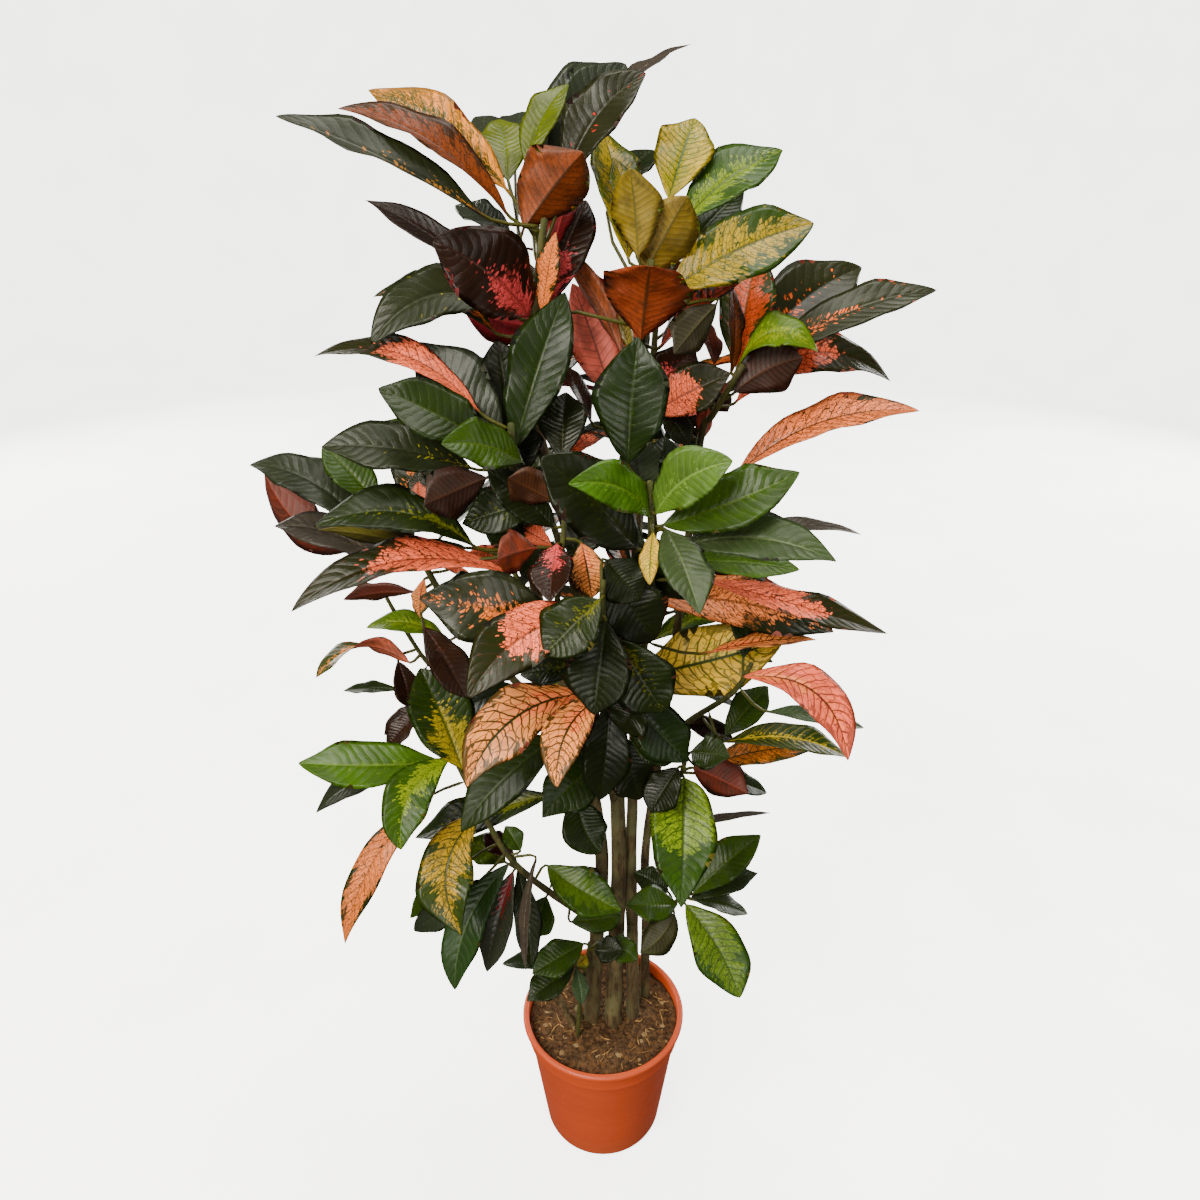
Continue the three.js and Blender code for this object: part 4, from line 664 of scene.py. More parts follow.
class Shoot:
    """A shoot's curve, its thickness, and the free places along it where leaves may stand."""

    def __init__(self, stem, thick, path):
        self.stem = stem
        self.thick = thick
        self.path = [np.array(place, float) for place in path]
        shares = np.arange(CURVE_STEPS + 1) / CURVE_STEPS
        points = np.array([on_curve(self.path, share) for share in shares])
        reached = run_along(points)
        self.length = reached[-1]
        runs = max(3, round(self.length / STEM_STEP))
        spine = [on_curve(self.path, share / runs) for share in range(runs + 1)]
        count = round(self.length / ROOT_GAP)
        spaced = np.interp(np.arange(count) / count * self.length, reached, shares)
        along = [onto_spine(on_curve(self.path, share), spine) for share in spaced]
        self.free = [point for point in along if point[2] > SOIL_TOP + BARE_FOOT]

    def at(self, share):
        """The point of the curve that lies a share of the way up."""
        return on_curve(self.path, share)

    def take(self, measure):
        """Takes the free place that measures least."""
        distances = [measure(point) for point in self.free]
        best = int(np.argmin(distances))
        return self.free.pop(best), distances[best]


def pictured_leaf(name, row, number):
    """The leaf that a row of the table states, with its root at the nearest free place of its shoot."""
    tip_x, tip_y, neck_x, neck_y, wide, reach, roll, *unusual, look = row
    span = math.hypot(tip_x - neck_x, tip_y - neck_y)

    def measure(point):
        across, down, _ = seen(point)
        right, low = across - neck_x, down - neck_y
        past = max(0, (right * (tip_x - neck_x) + low * (tip_y - neck_y)) / span)
        return math.hypot(right, low) + FOLDED_BACK * past

    root, distance = SHOOTS[name].take(measure)
    share = min(LONGEST_ROOT_SHARE, distance / span)
    root_depth = seen(root)[2]

    def bent(push, extra_roll):
        neck_depth = root_depth + reach * share + NECK_PUSH * push
        neck = sighted(neck_x, neck_y, neck_depth)
        tip = sighted(tip_x, tip_y, neck_depth + reach + TIP_PUSH * push)
        return {"neck": neck, "tip": tip, "gaze": unit((neck + tip) / 2 - EYE), "roll": roll + extra_roll}

    return {
        **USUAL, **dict(*unusual), "name": name, "number": number, "root": root, "wide": wide,
        "hidden": False, "phase": spread(number, PHASE_STEP), "look": look, "bent": bent,
    }


def rear_look(height, number):
    """The look of a rear leaf at that height, in turn with its neighbours."""
    looks = REAR_LOW
    if height > REAR_MIDDLE_HEIGHT:
        looks = REAR_MIDDLE
    if height > REAR_TOP_HEIGHT:
        looks = REAR_TOP
    return looks[number % len(looks)]


def spiral_leaf(name, place, number):
    """The leaf that the spiral puts at one place of a shoot."""
    rule = SPIRALS[name]
    share = (place + 0.5) / rule["count"]
    wanted = SHOOTS[name].at(rule["from"] + (1 - rule["from"]) * share)
    root, _ = SHOOTS[name].take(lambda point: np.linalg.norm(point - wanted))
    first, second = spread(number, FIRST_STEP), spread(number, SECOND_STEP)
    length = SPIRAL_LENGTH + SPIRAL_LENGTH_SPREAD * first

    def bent(push, extra_roll):
        azimuth = math.radians(rule["start"] + GOLDEN_ANGLE * place + push)
        rise = SPIRAL_RISE + SPIRAL_RISE_GAIN * share + SPIRAL_RISE_PUSH * push * (second - 0.5)
        rise = math.radians(rise)
        flat = math.cos(rise)
        heading = np.array([math.cos(azimuth) * flat, math.sin(azimuth) * flat, math.sin(rise)])
        neck = root + heading * SPIRAL_STALK * length
        tip = neck + heading * length - np.array([0, 0, SPIRAL_SAG * length])
        roll = extra_roll + SPIRAL_ROLL * (first - 0.5)
        return {"neck": neck, "tip": tip, "gaze": np.array([0.0, 0.0, -1.0]), "roll": roll}

    return {
        **USUAL, "name": name, "number": number, "root": root, "hidden": True, "arch": SPIRAL_ARCH,
        "wide": SPIRAL_WIDTH + SPIRAL_WIDTH_SPREAD * second, "phase": spread(number, PHASE_STEP),
        "look": rear_look(root[2], number), "bent": bent,
    }


def frame_of(leaf):
    """A leaf's own frame: its midrib is a curve from the foot of the blade to its tip."""
    chord = leaf["tip"] - leaf["neck"]
    length = np.linalg.norm(chord)
    heading = chord / length
    across = unit(np.cross(heading, leaf["gaze"]))
    facing = np.cross(heading, across)
    shown = -1 if leaf["under"] else 1
    turn = math.radians(leaf["roll"]) * (-1 if across[2] > 0 else 1) * shown
    upper = facing * math.cos(turn) - across * math.sin(turn)
    middle = (
        (leaf["neck"] + leaf["tip"]) / 2
        + upper * 2 * leaf["arch"] * length * shown
        + across * 2 * leaf["sweep"] * length
    )
    return across, facing, shown, turn, middle


def station_of(leaf, leaf_frame, share):
    """A blade's middle, its width and upper directions and its half width, a share of its length out."""
    across, facing, shown, turn, middle = leaf_frame
    centre, heading = bow(leaf["neck"], middle, leaf["tip"], share)
    angle = turn + math.radians(leaf["twist"]) * (share - 0.5)
    wide, upper = squared(across * math.cos(angle) + facing * math.sin(angle), heading, shown)
    power = math.log(0.5) / math.log(leaf["full"])
    swell = max(0.0, math.sin(math.pi * share**power)) ** BLADE_FULLNESS
    half = leaf["wide"] / 2 * swell + PETIOLE_RADIUS * (1 - share)
    return centre, wide, upper, half


def edge_lift(leaf, share, side):
    """How high a blade's edge stands over its midrib."""
    wave = math.sin(2 * math.pi * (EDGE_WAVES * share + leaf["phase"] + EDGE_LAG * side))
    return EDGE_LIFT * leaf["wide"] * math.sin(math.pi * share) * wave


def fold_of(leaf, share):
    """The angle at which a blade's halves rise from its midrib, easing towards its tip."""
    return math.radians(leaf["fold"]) * (1 - FOLD_EASING * share)


def edge_point(leaf, leaf_frame, share, side):
    """A corner of the solid blade: a point of one of its edges."""
    centre, wide, upper, half = station_of(leaf, leaf_frame, share)
    fold = fold_of(leaf, share)
    lift = half * math.sin(fold) + edge_lift(leaf, share, side)
    return centre + wide * side * half * math.cos(fold) + upper * lift


def as_it_stands(leaf, solids):
    """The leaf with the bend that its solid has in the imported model, or None where it was left out."""
    shares = SMALL_SOLID_ROWS if leaf["hidden"] or leaf["wide"] < SMALL_BLADE else SOLID_ROWS
    tree = solids[SHOOTS[leaf["name"]].stem]
    best, most = None, CHANCE_HITS
    for push in PUSHES:
        for turn in TURNS:
            bent = {**leaf, **leaf["bent"](push, turn)}
            if tree.find(Vector(bent["tip"] * MM))[2] > NEARNESS * MM:
                continue
            leaf_frame = frame_of(bent)
            places = [edge_point(bent, leaf_frame, share, side) for share in shares[1:-1] for side in (-1, 1)]
            hits = 1 + sum(tree.find(Vector(place * MM))[2] < NEARNESS * MM for place in places)
            if hits > most:
                best, most = bent, hits
    return best


def leaves_as_they_stand():
    """Every leaf of the bush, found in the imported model."""
    solids = {}
    for name in SHOOT_CURVES:
        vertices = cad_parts[name].data.vertices
        tree = kdtree.KDTree(len(vertices))
        for index, vertex in enumerate(vertices):
            tree.insert(vertex.co, index)
        tree.balance()
        solids[name] = tree
    wanted = []
    for name, rows in LEAVES.items():
        for row in rows:
            wanted.append(pictured_leaf(name, row, len(wanted)))
    for name, rule in SPIRALS.items():
        for place in range(rule["count"]):
            wanted.append(spiral_leaf(name, place, len(wanted)))
    found = [as_it_stands(leaf, solids) for leaf in wanted]
    return [bent for bent in found if bent is not None]


SHOOTS = {
    name: Shoot(stem, *curve) for stem, curves in SHOOT_CURVES.items() for name, curve in curves.items()
}


class Graph:
    """The nodes of a material or of a shader node group."""

    def __init__(self, tree):
        self.tree = tree

    def add(self, kind, **settings):
        """A new node with its settings."""
        node = self.tree.nodes.new(kind)
        for name, value in settings.items():
            setattr(node, name, value)
        return node

    def feed(self, socket, value):
        """Links a socket to another, or sets its plain value."""
        if isinstance(value, bpy.types.NodeSocket):
            self.tree.links.new(value, socket)
        else:
            socket.default_value = value

    def math(self, operation, *values, clamp=False):
        """The result of a sum, a product or the like."""
        node = self.add("ShaderNodeMath", operation=operation, use_clamp=clamp)
        for socket, value in zip(node.inputs, values):
            self.feed(socket, value)
        return node.outputs["Value"]

    def between(self, value, low, high, start=0.0, end=1.0):
        """Rises smoothly from start to end while the value goes from low to high."""
        node = self.add("ShaderNodeMapRange", interpolation_type="SMOOTHSTEP")
        for socket, number in zip(node.inputs, (value, low, high, start, end)):
            self.feed(socket, number)
        return node.outputs["Result"]

    def mix(self, share, first, second):
        """A colour between two others."""
        node = self.add("ShaderNodeMix", data_type="RGBA")
        self.feed(node.inputs[0], share)
        self.feed(node.inputs[6], first)
        self.feed(node.inputs[7], second)
        return node.outputs[2]

    def layer(self, colour, tint, value, *levels):
        """A colour with a tint laid over it where a value lies above or between some levels."""
        return self.mix(self.between(value, *levels), colour, tint)

    def place(self, x, y, z):
        """A place with three coordinates of its own."""
        node = self.add("ShaderNodeCombineXYZ")
        for socket, value in zip(node.inputs, (x, y, z)):
            self.feed(socket, value)
        return node.outputs["Vector"]

    def noise(self, place, scale, detail=2.0, roughness=0.5, distortion=0.0):
        """Smooth noise from 0 to 1."""
        node = self.add("ShaderNodeTexNoise")
        for name, value in (
            ("Vector", place), ("Scale", scale), ("Detail", detail), ("Roughness", roughness),
            ("Distortion", distortion),
        ):
            self.feed(node.inputs[name], value)
        return node.outputs["Fac"]

    def cells(self, place, scale, feature="F1"):
        """A pattern of cells, for their distances or their colours."""
        node = self.add("ShaderNodeTexVoronoi", feature=feature)
        self.feed(node.inputs["Vector"], place)
        self.feed(node.inputs["Scale"], scale)
        return node

    def attribute(self, name, output="Fac"):
        """What a skin's vertices say."""
        return self.add("ShaderNodeAttribute", attribute_name=name).outputs[output]

    def object_place(self, stretch=(1.0, 1.0, 1.0)):
        """The place on the object, in metres, stretched."""
        node = self.add("ShaderNodeMapping")
        self.feed(node.inputs["Vector"], self.add("ShaderNodeTexCoord").outputs["Object"])
        self.feed(node.inputs["Scale"], stretch)
        return node.outputs["Vector"]

    def use(self, group, **inputs):
        """The outputs of a node group that is given its inputs."""
        node = self.add("ShaderNodeGroup", node_tree=group)
        for name, value in inputs.items():
            self.feed(node.inputs[name.replace("_", " ")], value)
        return node.outputs


def group_of(name, inputs, outputs):
    """An empty shader node group whose named inputs and outputs are numbers."""
    tree = bpy.data.node_groups.new(name, "ShaderNodeTree")
    for way, labels in (("INPUT", inputs), ("OUTPUT", outputs)):
        for label in labels:
            tree.interface.new_socket(name=label, in_out=way, socket_type="NodeSocketFloat")
    graph = Graph(tree)
    return graph, graph.add("NodeGroupInput").outputs, graph.add("NodeGroupOutput").inputs


# Markings of a leaf: what is counted along its length, or from its midrib to its edge
RIB_PAIRS = 14.0
RIB_SWEEP = -0.15
RIB_BEND = 1.3
RIB_STAGGER = 0.25
RIB_WANDER = 0.9
MESH_ACROSS = 3.3
MESH_WANDER = 0.6
CELLS_ALONG = 40.0
CELLS_ACROSS = 5.6
CELL_WANDER = 1.5
WOBBLES_ALONG = 7.0
WOBBLES_ACROSS = 1.6
SEED_SHIFT = 37.0


def croton_markings():
    """The markings of a croton leaf: patches that spread from the midrib panel by panel, veins and relief."""
    graph, given, result = group_of(
        "croton markings",
        ["Along", "Across", "Seed", "Foot Amount", "Tip Amount"],
        ["Patch", "Ribs", "Net", "Rim", "Midrib", "Shade", "Relief"],
    )
    along, across, seed = given["Along"], given["Across"], given["Seed"]
    side = graph.math("SIGN", across)
    out = graph.math("ABSOLUTE", across)
    shift = graph.math("MULTIPLY", seed, SEED_SHIFT)
    spot = graph.place(
        graph.math("MULTIPLY", along, WOBBLES_ALONG), graph.math("MULTIPLY", across, WOBBLES_ACROSS), shift
    )
    wobble = graph.math("SUBTRACT", graph.noise(spot, 1.0, 2.0), 0.5)

    # The side ribs leave the midrib in pairs and sweep towards the tip
    sweep = graph.math("MULTIPLY_ADD", graph.math("POWER", out, RIB_BEND), RIB_SWEEP, along)
    stagger = graph.math("MULTIPLY_ADD", side, RIB_STAGGER, shift)
    phase = graph.math("MULTIPLY_ADD", sweep, RIB_PAIRS, stagger)
    phase = graph.math("MULTIPLY_ADD", wobble, RIB_WANDER, phase)
    part = graph.math("FRACT", phase)
    off_rib = graph.math("MINIMUM", part, graph.math("SUBTRACT", 1.0, part))
    thinning = graph.between(out, 0.3, 1.0, 0.14, 0.06)
    ribs = graph.between(graph.math("DIVIDE", off_rib, thinning), 0.35, 1.0, 1.0, 0.0)
    graph.feed(result["Ribs"], ribs)

    # A net of veins fills each panel between two ribs
    mesh_place = graph.place(
        graph.math("MULTIPLY_ADD", wobble, MESH_WANDER, phase), graph.math("MULTIPLY", across, MESH_ACROSS),
        shift,
    )
    mesh = graph.cells(mesh_place, 1.0, "DISTANCE_TO_EDGE").outputs["Distance"]
    graph.feed(result["Net"], graph.between(mesh, 0.015, 0.06, 1.0, 0.0))

    # Small cells lie along the ribs: the patches are made of them, merging near the midrib
    cell_place = graph.place(
        graph.math("MULTIPLY_ADD", wobble, CELL_WANDER, graph.math("MULTIPLY", sweep, CELLS_ALONG)),
        graph.math("MULTIPLY", across, CELLS_ACROSS),
        shift,
    )
    cell = graph.cells(cell_place, 1.0)
    border = graph.cells(cell_place, 1.0, "DISTANCE_TO_EDGE").outputs["Distance"]
    chance = graph.add("ShaderNodeSeparateColor")
    graph.feed(chance.inputs["Color"], cell.outputs["Color"])
    grain = graph.math("SUBTRACT", graph.noise(cell_place, 2.4, 2.0), 0.5)

    # Each panel takes its patch a different way out from the midrib
    panel = graph.add("ShaderNodeTexWhiteNoise", noise_dimensions="3D")
    graph.feed(panel.inputs["Vector"], graph.place(graph.math("FLOOR", phase), side, seed))
    amount = graph.math(
        "MULTIPLY_ADD", graph.math("SUBTRACT", given["Tip Amount"], given["Foot Amount"]),
        graph.between(along, 0.05, 0.8), given["Foot Amount"],
    )
    reach = graph.math("MULTIPLY", amount, graph.math("MULTIPLY_ADD", panel.outputs["Value"], 0.8, 0.65))
    reach = graph.math("MULTIPLY_ADD", wobble, 0.5, reach)
    odds = graph.between(graph.math("SUBTRACT", out, reach), -0.35, 0.4, 1.0, 0.0)
    odds = graph.math("MULTIPLY", odds, graph.between(amount, 0.0, 0.4))
    taken = graph.between(graph.math("SUBTRACT", odds, chance.outputs["Red"]), -0.02, 0.02)
    inset = graph.math("MULTIPLY_ADD", grain, 0.2, graph.between(odds, 0.2, 1.0, 0.2, 0.02))
    island = graph.between(graph.math("SUBTRACT", border, inset), 0.0, 0.05)
    graph.feed(result["Patch"], graph.math("MULTIPLY", taken, island))

    # Cells at the margin and the tip keep the colour of the veins
    tipward = graph.math("POWER", graph.math("MAXIMUM", along, 0.0), 3.0)
    outward = graph.math("MULTIPLY_ADD", tipward, 0.6, out)
    outward = graph.math("MULTIPLY_ADD", chance.outputs["Green"], -0.5, outward)
    outward = graph.math("MULTIPLY_ADD", wobble, 0.5, outward)
    graph.feed(result["Rim"], graph.between(outward, 0.68, 0.74))

    # The midrib thins towards the tip
    midrib_width = graph.between(along, 0.0, 1.0, 0.075, 0.05)
    graph.feed(result["Midrib"], graph.between(graph.math("DIVIDE", out, midrib_width), 0.45, 1.0, 1.0, 0.0))

    # Broad shading, and the relief of the panels that swell between the ribs
    broad = graph.place(graph.math("MULTIPLY", along, 3.0), across, shift)
    graph.feed(result["Shade"], graph.noise(broad, 1.5, 4.0, 0.6))
    quilt = graph.math("POWER", off_rib, 0.6)
    fine = graph.math("MULTIPLY", graph.noise(cell_place, 2.0, 2.0), 0.3)
    graph.feed(result["Relief"], graph.math("ADD", quilt, fine))
    return graph.tree


def material_of(name):
    """A new material, with its graph and its shader's sockets."""
    made = bpy.data.materials.new(name)
    made.use_nodes = True
    made.node_tree.nodes.clear()
    graph = Graph(made.node_tree)
    shader = graph.add("ShaderNodeBsdfPrincipled")
    output = graph.add("ShaderNodeOutputMaterial")
    graph.feed(output.inputs["Surface"], shader.outputs["BSDF"])
    return made, graph, shader.inputs


def bump(graph, height, strength, distance):
    """The relief that a height makes, to a stated strength and depth in metres."""
    node = graph.add("ShaderNodeBump")
    graph.feed(node.inputs["Height"], height)
    graph.feed(node.inputs["Strength"], strength)
    graph.feed(node.inputs["Distance"], distance)
    return node.outputs["Normal"]


def joined(graph, shader, colour, roughness, gloss, normal):
    """Feeds a shader its colour, roughness and relief, and sets how strongly it shines."""
    graph.feed(shader["Base Color"], colour)
    graph.feed(shader["Roughness"], roughness)
    graph.feed(shader["Normal"], normal)
    shader["Specular IOR Level"].default_value = gloss


def leaf_marks(graph, markings):
    """The markings of each leaf by its own habit, and how strongly its net of veins shows."""
    habit = graph.add("ShaderNodeSeparateXYZ")
    graph.feed(habit.inputs["Vector"], graph.attribute("habit", "Vector"))
    marks = graph.use(
        markings, Along=graph.attribute("along"), Across=graph.attribute("across"),
        Seed=graph.attribute("seed"), Foot_Amount=habit.outputs["X"], Tip_Amount=habit.outputs["Y"],
    )
    return marks, habit.outputs["Z"]


def with_stalk(graph, colour):
    """The blade's colour, giving way to green on the stalk."""
    stalk = graph.between(graph.attribute("along"), -0.03, 0.01, 1.0, 0.0)
    return graph.mix(stalk, colour, linear(STALK_GREEN))


def leaf_face(markings):
    """The upper side of the leaves: a smooth waxy skin over the coloured markings."""
    made, graph, shader = material_of("croton leaf upper side")
    marks, net = leaf_marks(graph, markings)
    ground = graph.attribute("ground", "Color")
    colour = graph.layer(ground, linear(LEAF_SHADOW), marks["Shade"], 0.35, 0.7, 0.0, 0.35)
    patch = graph.layer(graph.attribute("patch", "Color"), ground, marks["Shade"], 0.35, 0.75, 0.0, 0.3)
    colour = graph.mix(marks["Patch"], colour, patch)
    rib = graph.attribute("rib", "Color")
    veins = graph.math("MAXIMUM", marks["Ribs"], graph.math("MULTIPLY", marks["Net"], net))
    veins = graph.math("MAXIMUM", veins, graph.math("MULTIPLY", marks["Rim"], net))
    veined = graph.math("MULTIPLY", graph.math("MULTIPLY_ADD", net, 0.82, 0.18, clamp=True), veins)
    colour = graph.mix(veined, colour, rib)
    strength = graph.math("MULTIPLY", marks["Midrib"], graph.attribute("midrib"))
    colour = with_stalk(graph, graph.mix(strength, colour, rib))
    roughness = graph.between(marks["Shade"], 0.25, 0.75, 0.24, 0.38)
    joined(graph, shader, colour, roughness, LEAF_GLOSS, bump(graph, marks["Relief"], *LEAF_RELIEF))
    return made


def leaf_back(markings):
    """The underside of the leaves: duller, with the markings showing through faintly."""
    made, graph, shader = material_of("croton leaf underside")
    marks, _ = leaf_marks(graph, markings)
    back = graph.attribute("back", "Color")
    colour = graph.mix(graph.math("MULTIPLY", marks["Patch"], 0.15), back, graph.attribute("patch", "Color"))
    colour = graph.layer(colour, linear(BACK_SHADOW), marks["Shade"], 0.38, 0.7, 0.0, 0.55)
    back_rib = graph.attribute("back_rib", "Color")
    colour = graph.mix(graph.math("MULTIPLY", marks["Ribs"], 0.45), colour, back_rib)
    colour = with_stalk(graph, graph.mix(graph.math("MULTIPLY", marks["Midrib"], 0.8), colour, back_rib))
    roughness = graph.between(marks["Shade"], 0.2, 0.8, 0.5, 0.62)
    relief = bump(graph, graph.math("MULTIPLY", marks["Relief"], -1.0), *BACK_RELIEF)
    joined(graph, shader, colour, roughness, BACK_GLOSS, relief)
    return made


def bark_material():
    """Brown bark with fine upright cracks, grey-green mottling and leaf scars, greener on the young wood."""
    made, graph, shader = material_of("croton bark")
    cracks = graph.noise(graph.object_place((160.0, 160.0, 22.0)), 1.0, 5.0, 0.65)
    broad = graph.noise(graph.object_place((1.0, 1.0, 0.6)), 42.0, 4.0, 0.6)
    spots = graph.cells(graph.object_place((1.0, 1.0, 0.55)), 170.0).outputs["Distance"]
    young = graph.attribute("along")
    old = graph.layer(side_lit(BARK_DARK), side_lit(BARK_BROWN), cracks, 0.36, 0.66)
    old = graph.layer(old, side_lit(BARK_GREY), broad, 0.44, 0.6, 0.0, 0.75)
    fresh = graph.layer(linear(YOUNG_DARK), linear(YOUNG_GREEN), cracks, 0.35, 0.65)
    colour = graph.mix(young, old, fresh)
    colour = graph.layer(colour, side_lit(BARK_SPOT), spots, 0.12, 0.2, 0.4, 0.0)
    scars = graph.attribute("across")
    colour = graph.mix(graph.math("MULTIPLY", scars, 0.55), colour, side_lit(BARK_DARK))
    roughness = graph.between(cracks, 0.2, 0.8, 0.88, 0.7)
    joined(graph, shader, colour, roughness, BARK_GLOSS, bump(graph, cracks, *BARK_RELIEF))
    return made


def pot_material():
    """Moulded orange plastic, a little dull and dusty, with faint flow lines and scuffs."""
    made, graph, shader = material_of("orange pot plastic")
    flow = graph.noise(graph.object_place((6.0, 6.0, 60.0)), 1.0, 3.0, 0.6)
    mottle = graph.noise(graph.object_place(), 30.0, 4.0, 0.6)
    scuffs = graph.noise(graph.object_place((220.0, 220.0, 30.0)), 1.0, 3.0, 0.7, 0.6)
    height = graph.add("ShaderNodeSeparateXYZ")
    graph.feed(height.inputs["Vector"], graph.object_place())
    colour = graph.layer(side_lit(POT_PLAIN), side_lit(POT_WARM), flow, 0.3, 0.7)
    colour = graph.layer(colour, side_lit(POT_DULL), mottle, 0.5, 0.75, 0.0, 0.22)
    colour = graph.layer(colour, side_lit(POT_SCUFF), scuffs, 0.62, 0.72, 0.0, 0.25)
    dusty = graph.math("MULTIPLY", graph.between(height.outputs["Z"], 0.0, 0.06, 0.3, 0.0), mottle)
    colour = graph.mix(dusty, colour, side_lit(POT_DUST))
    roughness = graph.between(mottle, 0.3, 0.7, 0.4, 0.56)
    relief = graph.math("MULTIPLY_ADD", flow, 0.5, graph.math("MULTIPLY", scuffs, 0.4))
    joined(graph, shader, colour, roughness, POT_GLOSS, bump(graph, relief, *POT_RELIEF))
    return made


def soil_material():
    """Brown peat, darker in its hollows by its own tone and by painted shade, with pale grit and rusty bits
    of bark.
    """
    made, graph, shader = material_of("peat")
    crumbs = graph.noise(graph.object_place(), 130.0, 6.0, 0.7)
    lumps = graph.cells(graph.object_place(), 150.0)
    tint = graph.add("ShaderNodeSeparateColor")
    graph.feed(tint.inputs["Color"], lumps.outputs["Color"])
    # The dark peat lies where the crumbs' relief is low: partly the peat's own tone, partly painted shade in
    # its hollows
    colour = graph.layer(side_lit(PEAT_DARK_AND_HOLLOW_SHADE), side_lit(PEAT_BROWN), crumbs, 0.35, 0.68)
    colour = graph.layer(colour, side_lit(PEAT_RUST), tint.outputs["Red"], 0.84, 0.92, 0.0, 0.5)
    colour = graph.layer(colour, side_lit(PEAT_GRIT), tint.outputs["Green"], 0.94, 0.97, 0.0, 0.8)
    roughness = graph.between(crumbs, 0.2, 0.8, 0.98, 0.85)
    relief = graph.math("SUBTRACT", crumbs, graph.math("MULTIPLY", lumps.outputs["Distance"], 0.6))
    joined(graph, shader, colour, roughness, SOIL_GLOSS, bump(graph, relief, *SOIL_RELIEF))
    return made


def litter_material(name, dark, pale):
    """Dry straw, or chips of bark, of one tint each."""
    made, graph, shader = material_of(name)
    grain = graph.noise(graph.object_place(), 420.0, 3.0, 0.6)
    tint = graph.noise(graph.object_place(), 60.0, 1.0, 0.5)
    share = graph.math("ADD", graph.math("MULTIPLY", grain, 0.4), graph.math("MULTIPLY", tint, 0.7))
    colour = graph.layer(side_lit(dark), side_lit(pale), share, 0.35, 0.75)
    roughness = graph.between(grain, 0.2, 0.8, 0.75, 0.9)
    joined(graph, shader, colour, roughness, LITTER_GLOSS, bump(graph, grain, *LITTER_RELIEF))
    return made


def backdrop_material():
    """A plain pale floor that glows evenly."""
    made, graph, shader = material_of("pale studio floor")
    grain = graph.noise(graph.object_place(), 3.0, 2.0, 0.5)
    colour = graph.layer(FLOOR_GREY, FLOOR_PALE, grain, 0.3, 0.7)
    graph.feed(shader["Base Color"], colour)
    graph.feed(shader["Emission Color"], colour)
    shader["Emission Strength"].default_value = FLOOR_GLOW
    shader["Roughness"].default_value = FLOOR_ROUGHNESS
    return made


# Columns of a leaf's skin: across its upper side from edge to edge, then back across its underside
UPPER_COLUMNS = [-1, -0.8, -0.52, -0.24, -0.06, 0, 0.06, 0.24, 0.52, 0.8]
LOWER_COLUMNS = [1, 0.6, 0.24, 0.06, 0, -0.06, -0.24, -0.6]
COLUMNS = np.array(UPPER_COLUMNS + LOWER_COLUMNS)
AWAY = np.abs(COLUMNS)
SIDES = np.sign(COLUMNS)
FACING = np.where(np.arange(len(COLUMNS)) < len(UPPER_COLUMNS), 1, -1)
ROUNDNESS = np.sqrt(np.maximum(0, 1 - COLUMNS**2))
MIDRIB_REACH = 0.1

# Rows of a leaf's skin: shares of its blade's length, and of its stalk's
LEAF_ROWS = [
    0, 0.04, 0.09, 0.15, 0.21, 0.27, 0.33, 0.39, 0.45, 0.51, 0.57, 0.63, 0.69, 0.75, 0.8, 0.85, 0.89, 0.925,
    0.955, 0.98, 1,
]
STALK_ROWS = [0, 0.12, 0.45, 0.76]

# Half thicknesses of the blade and the stalk, and the relief of the midrib, in millimetres
BLADE_LEVEL = 0.5
STALK_LEVEL = 1.7
MIDRIB_GROOVE = 0.9
MIDRIB_BROW = 0.1
MIDRIB_KEEL = 1.5
KEEL_FLANK = 0.4
KEEL_EASING = 0.6

# How the stalk leaves its shoot and widens at its foot, and how it passes into the blade
STALK_CURB = 0.35
STALK_SWELL = 0.35
STALK_MARK = 0.12
STALK_BLEND = 0.12

# How a blade cups and its edges ruffle and swing, as shares of its width, and its waves by its length
CUP_BEND = 1.12
EDGE_BEND = 1.7
RUFFLE = 0.026
RUFFLES = 3.7
RUFFLE_LAG = 0.37
EDGE_SWING = 0.05
SWINGS = 2.1
SWING_LAG = 0.23

# How a tip is drawn out: from where, how far, and how evenly
TIP_START = 0.68
TIP_DRAW = 0.36
TIP_DRAW_LEAST = 0.2
TIP_DRAW_SPREAD = 1.3
TIP_BEND = 1.4

# What the materials read from the skins
ATTRIBUTES = {
    "along": "FLOAT", "across": "FLOAT", "seed": "FLOAT", "midrib": "FLOAT", "habit": "FLOAT_VECTOR",
    "ground": "FLOAT_COLOR", "patch": "FLOAT_COLOR", "rib": "FLOAT_COLOR", "back": "FLOAT_COLOR",
    "back_rib": "FLOAT_COLOR",
}
BLACK = (0.0, 0.0, 0.0, 1.0)
UNMARKED = {
    "seed": 0.0, "midrib": 0.0, "habit": (0, 0, 0), "ground": BLACK, "patch": BLACK, "rib": BLACK,
    "back": BLACK, "back_rib": BLACK,
}

# Vertices that lie closer than these gaps are merged, and how far leaves differ in light and warmth
MERGE_GAP = 0.003 * MM
SEAM_GAP = 0.01 * MM
LIGHT_SPREAD = 0.28
WARM_SPREAD = 0.1


def template_of(around, along, upper):
    """A flat grid that wraps round into a skin, with the row and the column of each vertex."""
    form = bmesh.new()
    bmesh.ops.create_grid(form, x_segments=around, y_segments=along, size=1)
    for face in form.faces:
        column = int((face.calc_center_median().x + 1) / 2 * around)
        face.material_index = 0 if column < upper else 1
        face.smooth = True
    mesh = bpy.data.meshes.new("template")
    form.to_mesh(mesh)
    form.free()
    places = np.array([vertex.co[:] for vertex in mesh.vertices])
    columns = np.rint((places[:, 0] + 1) / 2 * around).astype(int) % around
    rows = np.rint((places[:, 1] + 1) / 2 * along).astype(int)
    return mesh, rows, columns


